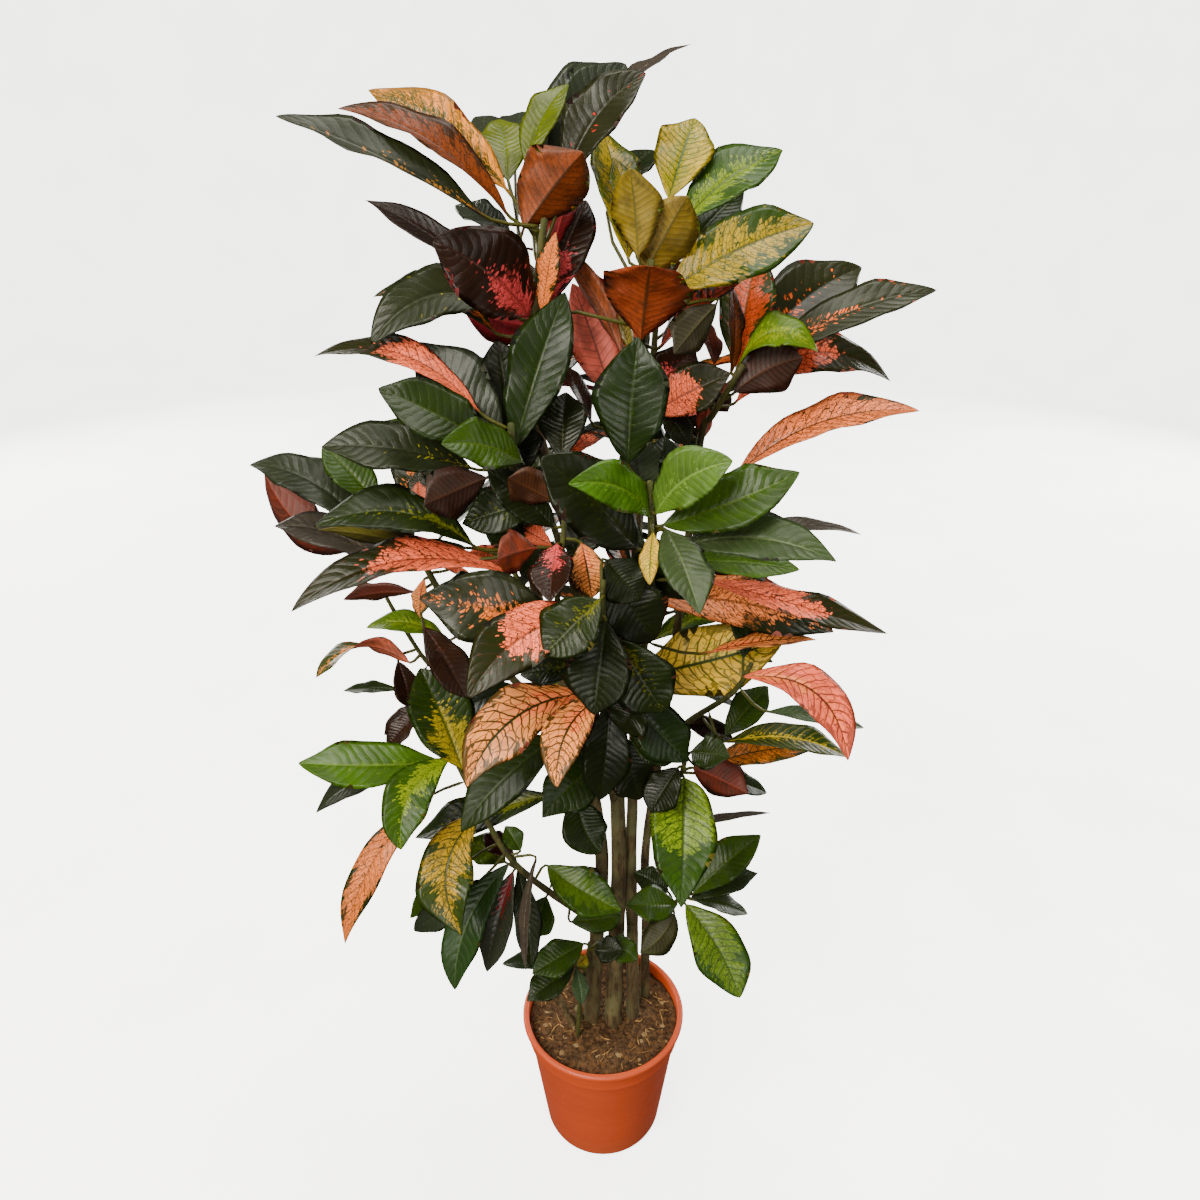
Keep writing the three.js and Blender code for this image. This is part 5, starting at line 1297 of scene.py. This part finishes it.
def pointed(leaf, share):
    """How far a blade narrows towards its tip, which is drawn out in some leaves and blunt in others."""
    draw = TIP_DRAW * (TIP_DRAW_LEAST + TIP_DRAW_SPREAD * spread(leaf["number"], TIP_STEP))
    return 1 - draw * max(0.0, (share - TIP_START) / (1 - TIP_START)) ** TIP_BEND


def stalk_row(leaf, leaf_frame, share):
    """One ring round a leaf's stalk, a share of the way from its shoot to its blade."""
    shown, middle = leaf_frame[2], leaf_frame[-1]
    root, neck = leaf["root"], leaf["neck"]
    curb = neck - unit(middle - neck) * STALK_CURB * np.linalg.norm(neck - root)
    here, heading = bow(root, curb, neck, share)
    wide, upper = squared(station_of(leaf, leaf_frame, 0)[1], heading, shown)
    thick = STALK_LEVEL * (0 if share == 0 else 1 + STALK_SWELL * (1 - share))
    return here + np.outer(COLUMNS * thick, wide) + np.outer(ROUNDNESS * thick * FACING, upper)


def blade_row(leaf, leaf_frame, share):
    """One ring round a leaf's blade, a share of its length out."""
    centre, wide, upper, half = station_of(leaf, leaf_frame, share)
    fold = fold_of(leaf, share)
    blade = min(1.0, share / STALK_BLEND)
    swing = 2 * math.pi * (SWINGS * share + leaf["phase"] + SWING_LAG * SIDES)
    reach = half * pointed(leaf, share) * (1 + EDGE_SWING * np.sin(swing) * blade * AWAY**2)
    ruffle = np.sin(2 * math.pi * (RUFFLES * share + 3 * leaf["phase"] + RUFFLE_LAG * SIDES))
    edge = np.array([edge_lift(leaf, share, side) for side in SIDES])
    edge = edge + RUFFLE * leaf["wide"] * math.sin(math.pi * share) * ruffle
    lift = AWAY**CUP_BEND * half * math.sin(fold) + AWAY**EDGE_BEND * edge
    taper = math.sin(math.pi * min(1, 0.5 + share / 2)) ** 0.5
    flat = np.where(AWAY < 1, 1.0, 0.0) * BLADE_LEVEL * taper
    level = (flat * blade + ROUNDNESS * STALK_LEVEL * (1 - blade)) * FACING
    near_midrib = AWAY < MIDRIB_REACH
    groove = np.where(AWAY == 0, -MIDRIB_GROOVE, np.where(near_midrib, MIDRIB_BROW, 0))
    keel = np.where(AWAY == 0, -MIDRIB_KEEL, np.where(near_midrib, -KEEL_FLANK, 0))
    relief = np.where(FACING > 0, groove, keel * (1 - KEEL_EASING * share))
    level = level + relief * taper * blade
    return centre + np.outer(COLUMNS * reach * math.cos(fold), wide) + np.outer(lift + level, upper)


def leaf_skin(leaf):
    """Places of a leaf's skin by row and column, with how far along the blade each row lies."""
    leaf_frame = frame_of(leaf)
    rows = [stalk_row(leaf, leaf_frame, share) for share in STALK_ROWS]
    rows += [blade_row(leaf, leaf_frame, share) for share in LEAF_ROWS]
    rows[-1] = np.tile(leaf["tip"], (len(COLUMNS), 1))
    along = [-STALK_MARK * (1 - share) for share in STALK_ROWS] + LEAF_ROWS
    return np.clip(rows, BOX_LOW, BOX_HIGH), np.array(along)


def placed(name, data):
    """A new object in the scene."""
    piece = bpy.data.objects.new(name, data)
    bpy.context.scene.collection.objects.link(piece)
    return piece


def write_attribute(mesh, name, kind, values):
    """Gives each vertex its value of an attribute that the materials read."""
    field = {"FLOAT": "value", "FLOAT_VECTOR": "vector", "FLOAT_COLOR": "color"}[kind]
    layer = mesh.attributes.new(name, kind, "POINT")
    layer.data.foreach_set(field, np.asarray(values, np.float32).ravel())


def skins_object(name, template, skins, materials):
    """One object of many skins, each an array of places with the values that its materials read."""
    flat, rows, columns = template
    form = bmesh.new()
    for _ in skins:
        form.from_mesh(flat)
    mesh = bpy.data.meshes.new(name)
    form.to_mesh(mesh)
    form.free()
    places = np.concatenate([skin["places"][rows, columns] for skin in skins]) * MM
    mesh.vertices.foreach_set("co", places.astype(np.float32).ravel())
    for label, kind in ATTRIBUTES.items():
        values = []
        for skin in skins:
            value = skin[label]
            if label == "along":
                value = value[rows]
            elif label == "across":
                value = value[rows, columns]
            else:
                value = np.tile(np.asarray(value, float), (len(rows), 1))
            values.append(value)
        write_attribute(mesh, label, kind, np.concatenate(values))
    form = bmesh.new()
    form.from_mesh(mesh)
    bmesh.ops.remove_doubles(form, verts=form.verts, dist=MERGE_GAP)
    bmesh.ops.dissolve_degenerate(form, edges=form.edges, dist=MERGE_GAP)
    bmesh.ops.recalc_face_normals(form, faces=form.faces)
    form.to_mesh(mesh)
    form.free()
    for material in materials:
        mesh.materials.append(material)
    return placed(name, mesh)


def tinted(colour, leaf):
    """A leaf's own shade of a colour: no two leaves of a bush are quite the same."""
    light = 1 + LIGHT_SPREAD * (spread(leaf["number"], FIRST_STEP) - 0.5)
    warm = 1 + WARM_SPREAD * (spread(leaf["number"], SECOND_STEP) - 0.5)
    red, green, blue, whole = linear(colour)
    return (red * light * warm, green * light, blue * light / warm, whole)


def dressed_leaf(leaf):
    """A leaf's skin with the values of its look."""
    places, along = leaf_skin(leaf)
    face, back = leaf["look"].split("/")
    ground, patch, rib, foot, tip, net, midrib = FACES[face]
    between, back_rib = BACKS[back]
    return {
        "places": places, "along": along, "across": np.tile(COLUMNS, (len(along), 1)),
        "seed": leaf["phase"], "midrib": midrib, "habit": (foot, tip, net),
        "ground": tinted(ground, leaf), "patch": tinted(patch, leaf), "rib": tinted(rib, leaf),
        "back": tinted(between, leaf), "back_rib": tinted(back_rib, leaf),
    }


# Wood: its skin's columns and rows, its knots and leaf scars, and where it is young and green
WOOD_AROUND = 12
WOOD_STEPS = 44
WOOD_SIDE = (0.0, 1.0, 0.17)
WOOD_GIRTH = 0.98
KNOT_SWELL = 0.1
KNOT_WIDTH = 1.5
KNOT_LENGTH = 22
KNOT_SHIFT = 9
RING_SPACING = 26
RING_SHARPNESS = 8
RING_SWELL = 0.035
WOODY_RADIUS = 6.5
GREEN_RADIUS = 3.9
FOOT_DEPTH = 60
BRANCH_DEPTH = 0.3
TOP_LENGTH = 0.5
TOP_GIRTH = 0.6
STUB_COLLAR = 6
CUT_RISE = 0.2
CUT_RADIUS = 0.1


def wood_skin(points, radii, young, number):
    """A stem's skin along its points: a little knotty, with the scars that shed leaves left."""
    heading = np.gradient(points, axis=0)
    heading = heading / np.linalg.norm(heading, axis=1)[:, None]
    sideways = np.cross(heading, WOOD_SIDE)
    sideways = sideways / np.linalg.norm(sideways, axis=1)[:, None]
    outward = np.cross(heading, sideways)
    angle = 2 * math.pi * np.arange(WOOD_AROUND) / WOOD_AROUND
    run = run_along(points)
    ring = np.sin(2 * math.pi * run / RING_SPACING) ** RING_SHARPNESS
    turns = [(math.cos(one) * KNOT_WIDTH, math.sin(one) * KNOT_WIDTH) for one in angle]
    heights = run / KNOT_LENGTH + KNOT_SHIFT * number
    knots = np.array([[noise.noise(Vector((*turn, height))) for turn in turns] for height in heights])
    radius = radii[:, None] * (WOOD_GIRTH + KNOT_SWELL * knots + RING_SWELL * ring[:, None])
    places = (
        points[:, None, :]
        + radius[:, :, None] * np.cos(angle)[None, :, None] * sideways[:, None, :]
        + radius[:, :, None] * np.sin(angle)[None, :, None] * outward[:, None, :]
    )
    places[0] = points[0]
    places[-1] = points[-1]
    scars = np.tile(ring[:, None], (1, WOOD_AROUND))
    return {**UNMARKED, "places": places, "along": young, "across": scars}


def shoot_skin(shoot, number):
    """The skin of a shoot, from its foot in the soil or in its stem to its rounded top."""
    shares = np.linspace(0, 1, WOOD_STEPS + 1)
    points = np.array([shoot.at(share) for share in shares])
    radii = shoot.thick[0] + (shoot.thick[1] - shoot.thick[0]) * shares
    young = np.clip((WOODY_RADIUS - radii) / (WOODY_RADIUS - GREEN_RADIUS), 0, 1)
    points = np.concatenate((points[:1], points, points[-1:]))
    depth = FOOT_DEPTH if shoot.path[0][2] < RIM_HEIGHT else BRANCH_DEPTH
    points[0] -= unit(points[2] - points[1]) * depth
    points[-1] += unit(points[-2] - points[-3]) * radii[-1] * TOP_LENGTH
    radii = np.concatenate((radii[:1], radii, radii[-1:] * TOP_GIRTH))
    return wood_skin(points, radii, np.concatenate((young[:1], young, young[-1:])), number)


def stub_skin(stub, number):
    """A stem cut short: straight, with a flat dry top."""
    low = np.array([*stub["foot"], BURIED_FOOT], float)
    base = np.array([*stub["foot"], SOIL_TOP + STUB_COLLAR], float)
    top = np.array(stub["top"], float)
    shares = np.linspace(0, 1, WOOD_STEPS)
    points = np.array([base + (top - base) * share for share in shares])
    radii = stub["radius"] + (stub["top_radius"] - stub["radius"]) * shares
    points = np.concatenate(([low, low + 1], points, [top + unit(top - base) * CUT_RISE]))
    radii = np.concatenate(([radii[0], radii[0]], radii, [CUT_RADIUS]))
    return wood_skin(points, radii, np.zeros(len(points)), number)


def spun(name, profile, steps, material):
    """A turned form: a profile of radius and height, in millimetres, spun round the upright axis."""
    form = bmesh.new()
    corners = [form.verts.new((radius * MM, 0, height * MM)) for radius, height in profile]
    edges = [form.edges.new(pair) for pair in zip(corners, corners[1:])]
    bmesh.ops.spin(
        form, geom=corners + edges, cent=(0, 0, 0), axis=(0, 0, 1), angle=2 * math.pi, steps=steps,
        use_merge=True,
    )
    bmesh.ops.remove_doubles(form, verts=form.verts, dist=SEAM_GAP)
    bmesh.ops.recalc_face_normals(form, faces=form.faces)
    return finished(name, form, material)


def finished(name, form, material, smooth=True):
    """One object made of a finished form."""
    for face in form.faces:
        face.smooth = smooth
    mesh = bpy.data.meshes.new(name)
    form.to_mesh(mesh)
    form.free()
    mesh.materials.append(material)
    return placed(name, mesh)


def rounded(corners):
    """A profile with its corners rounded off by short arcs."""
    points = [np.array(corner, float) for corner in corners]
    profile = [points[0]]
    for before, corner, after in zip(points, points[1:], points[2:]):
        reach = CORNER_SHARE * min(np.linalg.norm(corner - before), np.linalg.norm(after - corner))
        reach = min(CORNER_RADIUS, reach)
        start = corner + unit(before - corner) * reach
        end = corner + unit(after - corner) * reach
        for step in range(CORNER_STEPS + 1):
            profile.append(bow(start, corner, end, step / CORNER_STEPS)[0])
    return profile + [points[-1]]


def pot_profile():
    """Half a section of the pot, from the middle of its underside round to the middle of its floor."""
    inner_band = BAND_RADIUS - WALL_THICKNESS
    inner_wall = WALL_RADIUS - WALL_THICKNESS
    inner_foot = FOOT_RADIUS - WALL_THICKNESS
    ring = FOOT_RADIUS - FOOT_RING_WIDTH
    lip_foot = RIM_HEIGHT - LIP_HEIGHT
    inner_lip = RIM_RADIUS - LIP_WIDTH
    return rounded([
        (0, FOOT_RING_HEIGHT), (ring - 2, FOOT_RING_HEIGHT), (ring, 0), (FOOT_RADIUS - FOOT_ROUND, 0),
        (FOOT_RADIUS - 2, 2), (FOOT_RADIUS, FOOT_ROUND), (WALL_RADIUS, BAND_FOOT - 4),
        (BAND_RADIUS - BAND_TAPER, BAND_FOOT - 1), (BAND_RADIUS - 1, BAND_FOOT + 3),
        (BAND_RADIUS, lip_foot - 1), (RIM_RADIUS - 1, lip_foot), (RIM_RADIUS, lip_foot + 2),
        (RIM_RADIUS, RIM_HEIGHT - 3), (RIM_RADIUS - 2.5, RIM_HEIGHT), (inner_lip + 2, RIM_HEIGHT),
        (inner_lip, RIM_HEIGHT - 3), (inner_band - BAND_TAPER, BAND_FOOT), (inner_wall, BAND_FOOT - 4),
        (inner_foot, FLOOR_TOP), (0, FLOOR_TOP),
    ])


def make_pot():
    """The nursery pot: a rolled lip over a shallow band, a tapering wall and a floor with drain holes."""
    pot = spun("nursery_pot", pot_profile(), POT_STEPS, pot_material())
    form = bmesh.new()
    for number in range(DRAIN_COUNT):
        angle = 2 * math.pi * (number + 0.5) / DRAIN_COUNT
        place = (DRAIN_CIRCLE * math.cos(angle) * MM, DRAIN_CIRCLE * math.sin(angle) * MM)
        bmesh.ops.create_cone(
            form, cap_ends=True, segments=DRAIN_STEPS, radius1=DRAIN_RADIUS * MM, radius2=DRAIN_RADIUS * MM,
            depth=DRILL_LENGTH * MM, matrix=Matrix.Translation((*place, FLOOR_THICKNESS * MM)),
        )
    drill = finished("drill", form, pot.data.materials[0])
    cut = pot.modifiers.new("drain holes", "BOOLEAN")
    cut.object = drill
    cut.solver = "EXACT"
    bpy.context.view_layer.update()
    holed = bpy.data.meshes.new_from_object(pot.evaluated_get(bpy.context.evaluated_depsgraph_get()))
    pot.modifiers.remove(cut)
    pot.data = holed
    bpy.data.objects.remove(drill)
    return pot


# The soil, in millimetres: how it clears the pot, how far it falls towards the rim, and its lumps' sizes
SOIL_LIFT = 0.5
SOIL_FOOT_GAP = 0.3
SOIL_WALL_GAP = 0.5
SOIL_STEPS = 150
SOIL_RINGS = 46
SOIL_RADIUS = 120
SOIL_FALL = 6
SOIL_LUMPS = [(38, 4.5), (15, 2.6), (6, 1.5)]

# What lies on the soil: how many of each, how far out, and their sizes in millimetres
STRAW_COUNT = 80
STRAW_REACH = 116
STRAW_LENGTH = 8
STRAW_LENGTH_SPREAD = 22
STRAW_RADIUS = 0.4
STRAW_RADIUS_SPREAD = 0.35
STRAW_BEND = 0.35
STRAW_LIFT = 2.5
STRAW_FOLLOWING = 0.7
STRAW_CLEARANCE = 0.7
STRAW_ARCH = 0.4
STRAW_AROUND = 4
STRAW_STEPS = 6
CHIP_COUNT = 320
CHIP_REACH = 118
CHIP_SIZE = 1.0
CHIP_SIZE_SPREAD = 2.2
CHIP_LONG = 1.5
CHIP_WIDE = 0.7
CHIP_WIDE_SPREAD = 0.5
CHIP_FLAT = 0.5
CHIP_RISE = 0.15
CHIP_UNEVENNESS = 0.3


def soil_height(x, y):
    """The height of the soil's surface, in millimetres: low at the rim, heaped a little round the stems."""
    radius = math.hypot(x, y)
    height = SOIL_TOP + 1 - SOIL_FALL * (radius / SOIL_RADIUS) ** 2
    for scale, size in SOIL_LUMPS:
        height += size * noise.noise(Vector((x / scale, y / scale, scale)))
    return height


def make_soil():
    """The peat: crumbly on top, and as wide as the pot's inside all the way down."""
    base = FLOOR_TOP + SOIL_LIFT
    foot = FOOT_RADIUS - WALL_THICKNESS - SEAT_GAP - SOIL_FOOT_GAP
    wall = WALL_RADIUS - WALL_THICKNESS - SEAT_GAP - SOIL_WALL_GAP
    edge = BAND_RADIUS - WALL_THICKNESS - BAND_TAPER - SEAT_GAP
    profile = [
        (0, base), (foot, base), (wall, BAND_FOOT - 5), (edge - 1, BAND_FOOT + 2), (edge, SOIL_EDGE_TOP - 6),
    ]
    profile += [(edge * (1 - step / SOIL_RINGS), SOIL_TOP) for step in range(SOIL_RINGS + 1)]
    soil = spun("peat_fill", profile, SOIL_STEPS, soil_material())
    for vertex in soil.data.vertices:
        if vertex.co.z > (SOIL_EDGE_TOP - 1) * MM:
            vertex.co.z = soil_height(vertex.co.x / MM, vertex.co.y / MM) * MM
    return soil


def scattered(count, random, reach):
    """Places spread evenly over the soil."""
    for _ in range(count):
        radius = reach * math.sqrt(random.random())
        angle = 2 * math.pi * random.random()
        yield radius * math.cos(angle), radius * math.sin(angle)


def make_straw(random):
    """Dry fibres and bits of old stalk that lie on the peat."""
    form = bmesh.new()
    for x, y in scattered(STRAW_COUNT, random, STRAW_REACH):
        length = STRAW_LENGTH + STRAW_LENGTH_SPREAD * random.random() ** 2
        thick = STRAW_RADIUS + STRAW_RADIUS_SPREAD * random.random()
        made = bmesh.ops.create_grid(form, x_segments=STRAW_AROUND, y_segments=STRAW_STEPS, size=1)["verts"]
        turn = 2 * math.pi * random.random()
        bend = STRAW_BEND * (random.random() - 0.5)
        lift = STRAW_LIFT * random.random()
        for vertex in made:
            around = vertex.co.x * math.pi
            run = vertex.co.y
            girth = thick * max(0.0, 1 - run**4)
            along = run * length / 2
            off = bend * length * (run**2 - 0.5) + girth * math.cos(around)
            place_x = x + along * math.cos(turn) - off * math.sin(turn)
            place_y = y + along * math.sin(turn) + off * math.cos(turn)
            middle = soil_height(x, y)
            ground = middle + (soil_height(place_x, place_y) - middle) * STRAW_FOLLOWING
            arch = lift * (1 - run**2) * STRAW_ARCH
            height = ground + thick * STRAW_CLEARANCE + arch + girth * math.sin(around)
            vertex.co = (place_x * MM, place_y * MM, height * MM)
    bmesh.ops.remove_doubles(form, verts=form.verts, dist=SEAM_GAP)
    bmesh.ops.recalc_face_normals(form, faces=form.faces)
    straw = litter_material("dry straw", STRAW_DARK, STRAW_PALE)
    return finished("straw_fibres", form, straw)


def make_chips(random):
    """Crumbs of bark and grit, half sunk in the peat."""
    form = bmesh.new()
    for x, y in scattered(CHIP_COUNT, random, CHIP_REACH):
        size = CHIP_SIZE + CHIP_SIZE_SPREAD * random.random() ** 2
        made = bmesh.ops.create_icosphere(form, subdivisions=1, radius=1)["verts"]
        turn = Matrix.Rotation(2 * math.pi * random.random(), 3, "Z")
        turn = turn @ Matrix.Rotation(random.random(), 3, "X")
        stretch = np.array([CHIP_LONG, CHIP_WIDE + CHIP_WIDE_SPREAD * random.random(), CHIP_FLAT])
        centre = Vector((x, y, soil_height(x, y) + size * CHIP_RISE))
        for vertex in made:
            uneven = 1 + CHIP_UNEVENNESS * noise.noise(vertex.co * 2 + centre)
            vertex.co = (turn @ Vector(np.array(vertex.co) * stretch * size * uneven) + centre) * MM
    chips = litter_material("bark chips", CHIP_DARK, CHIP_PALE)
    return finished("bark_chips", form, chips, smooth=False)


# The backdrop, in millimetres: its flat floor's radius, the bend up to its wall, and the wall's height
FLOOR_RADIUS = 5600
FLOOR_BEND = 2000
WALL_HEIGHT = 9000
BEND_STEPS = 12
FLOOR_STEPS = 96

# The camera's sensor, in millimetres, and how far it sees, in metres
SENSOR_WIDTH = 36.0
CAMERA_REACH = 60.0

# Lights: the width and height in metres, the power in watts, the place, where it aims, and its tint
LIGHTS = {
    "window": ((2.8, 2.8), 590, (-2.6, -3.3, 4.6), (0, 0, 1.0), (1.0, 0.95, 0.85)),
    "sky panel": ((3.2, 3.2), 350, (0.4, 0.1, 5.6), (0, 0, 0.8), (1.0, 0.97, 0.89)),
    "fill panel": ((2.4, 2.4), 62, (4.0, -3.0, 2.4), (0, 0, 0.8), (1.0, 0.98, 0.95)),
    "rear panel left": ((2.8, 2.8), 330, (-3.4, 3.6, 2.2), (0, 0, 0.9), (1.0, 0.97, 0.9)),
    "rear panel right": ((2.8, 2.8), 300, (3.6, 3.4, 2.0), (0, 0, 0.9), (1.0, 0.98, 0.94)),
    "low panel": ((1.4, 0.8), 38, (-0.3, -2.6, 1.0), (0, 0, 0.15), (1.0, 0.97, 0.9)),
}
SURROUND_TINT = (1.0, 0.97, 0.9, 1.0)
SURROUND_LIGHT = 0.14


def make_backdrop():
    """A plain pale floor that curves up into a wall far off all round. It doesn't light the plant itself."""
    arc = [
        (FLOOR_RADIUS + FLOOR_BEND * math.sin(angle), FLOOR_BEND - FLOOR_BEND * math.cos(angle))
        for angle in np.linspace(0, math.pi / 2, BEND_STEPS + 1)
    ]
    profile = [(0, 0)] + arc + [(FLOOR_RADIUS + FLOOR_BEND, WALL_HEIGHT)]
    floor = spun("studio_floor", profile, FLOOR_STEPS, backdrop_material())
    floor.visible_diffuse = False
    floor.visible_glossy = False


def make_camera():
    """The camera, where the photograph was taken from."""
    camera = bpy.data.cameras.new("photo camera")
    camera.sensor_fit = "HORIZONTAL"
    camera.sensor_width = SENSOR_WIDTH
    camera.lens = FOCAL_PIXELS / PICTURE_SIZE * SENSOR_WIDTH
    camera.shift_x = -(PICTURE_CENTRE[0] - PICTURE_SIZE / 2) / PICTURE_SIZE
    camera.clip_end = CAMERA_REACH
    holder = placed("photo camera", camera)
    holder.location = EYE * MM
    holder.rotation_euler = (math.pi / 2 - PITCH, 0.0, 0.0)
    bpy.context.scene.camera = holder


def make_light(name, size, power, place, aim, colour):
    """A soft panel of light, turned to where it aims."""
    light = bpy.data.lights.new(name, "AREA")
    light.shape = "RECTANGLE"
    light.size, light.size_y = size
    light.energy = power
    light.color = colour
    holder = placed(name, light)
    holder.location = place
    holder.rotation_euler = (Vector(aim) - Vector(place)).to_track_quat("-Z", "Y").to_euler()


def make_studio():
    """The backdrop, the camera and the lights."""
    make_backdrop()
    make_camera()
    for name, settings in LIGHTS.items():
        make_light(name, *settings)
    world = bpy.data.worlds.new("soft surround")
    world.use_nodes = True
    surround = world.node_tree.nodes["Background"].inputs
    surround["Color"].default_value = SURROUND_TINT
    surround["Strength"].default_value = SURROUND_LIGHT
    bpy.context.scene.world = world


def make_plant():
    """Leaves and wood of each stem, each with the colours of its own place in the bush."""
    markings = croton_markings()
    skins = [leaf_face(markings), leaf_back(markings)]
    bark = bark_material()
    leaf_template = template_of(len(COLUMNS), len(STALK_ROWS) + len(LEAF_ROWS) - 1, len(UPPER_COLUMNS))
    wood_template = template_of(WOOD_AROUND, WOOD_STEPS + 2, WOOD_AROUND)
    leaves = leaves_as_they_stand()
    for number, node in enumerate([*SHOOT_CURVES, *STUBS]):
        if node in STUBS:
            wood = [stub_skin(STUBS[node], number)]
        else:
            own = [(shoot, place) for place, shoot in enumerate(SHOOTS.values()) if shoot.stem == node]
            wood = [shoot_skin(*one) for one in own]
        piece = skins_object(f"{node}_wood", wood_template, wood, [bark])
        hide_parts(node)
        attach(piece, "root")
        own = [dressed_leaf(leaf) for leaf in leaves if SHOOTS[leaf["name"]].stem == node]
        if own:
            piece = skins_object(f"{node}_leaves", leaf_template, own, skins)
            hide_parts(node)
            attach(piece, "root")


def make_potting():
    """The pot, the peat that fills it, and what lies on the peat."""
    random = np.random.default_rng(SEED)
    pot = make_pot()
    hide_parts("pot")
    soil = make_soil()
    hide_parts("soil")
    for piece in (pot, soil, make_straw(random), make_chips(random)):
        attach(piece, "root")


make_studio()
make_potting()
make_plant()
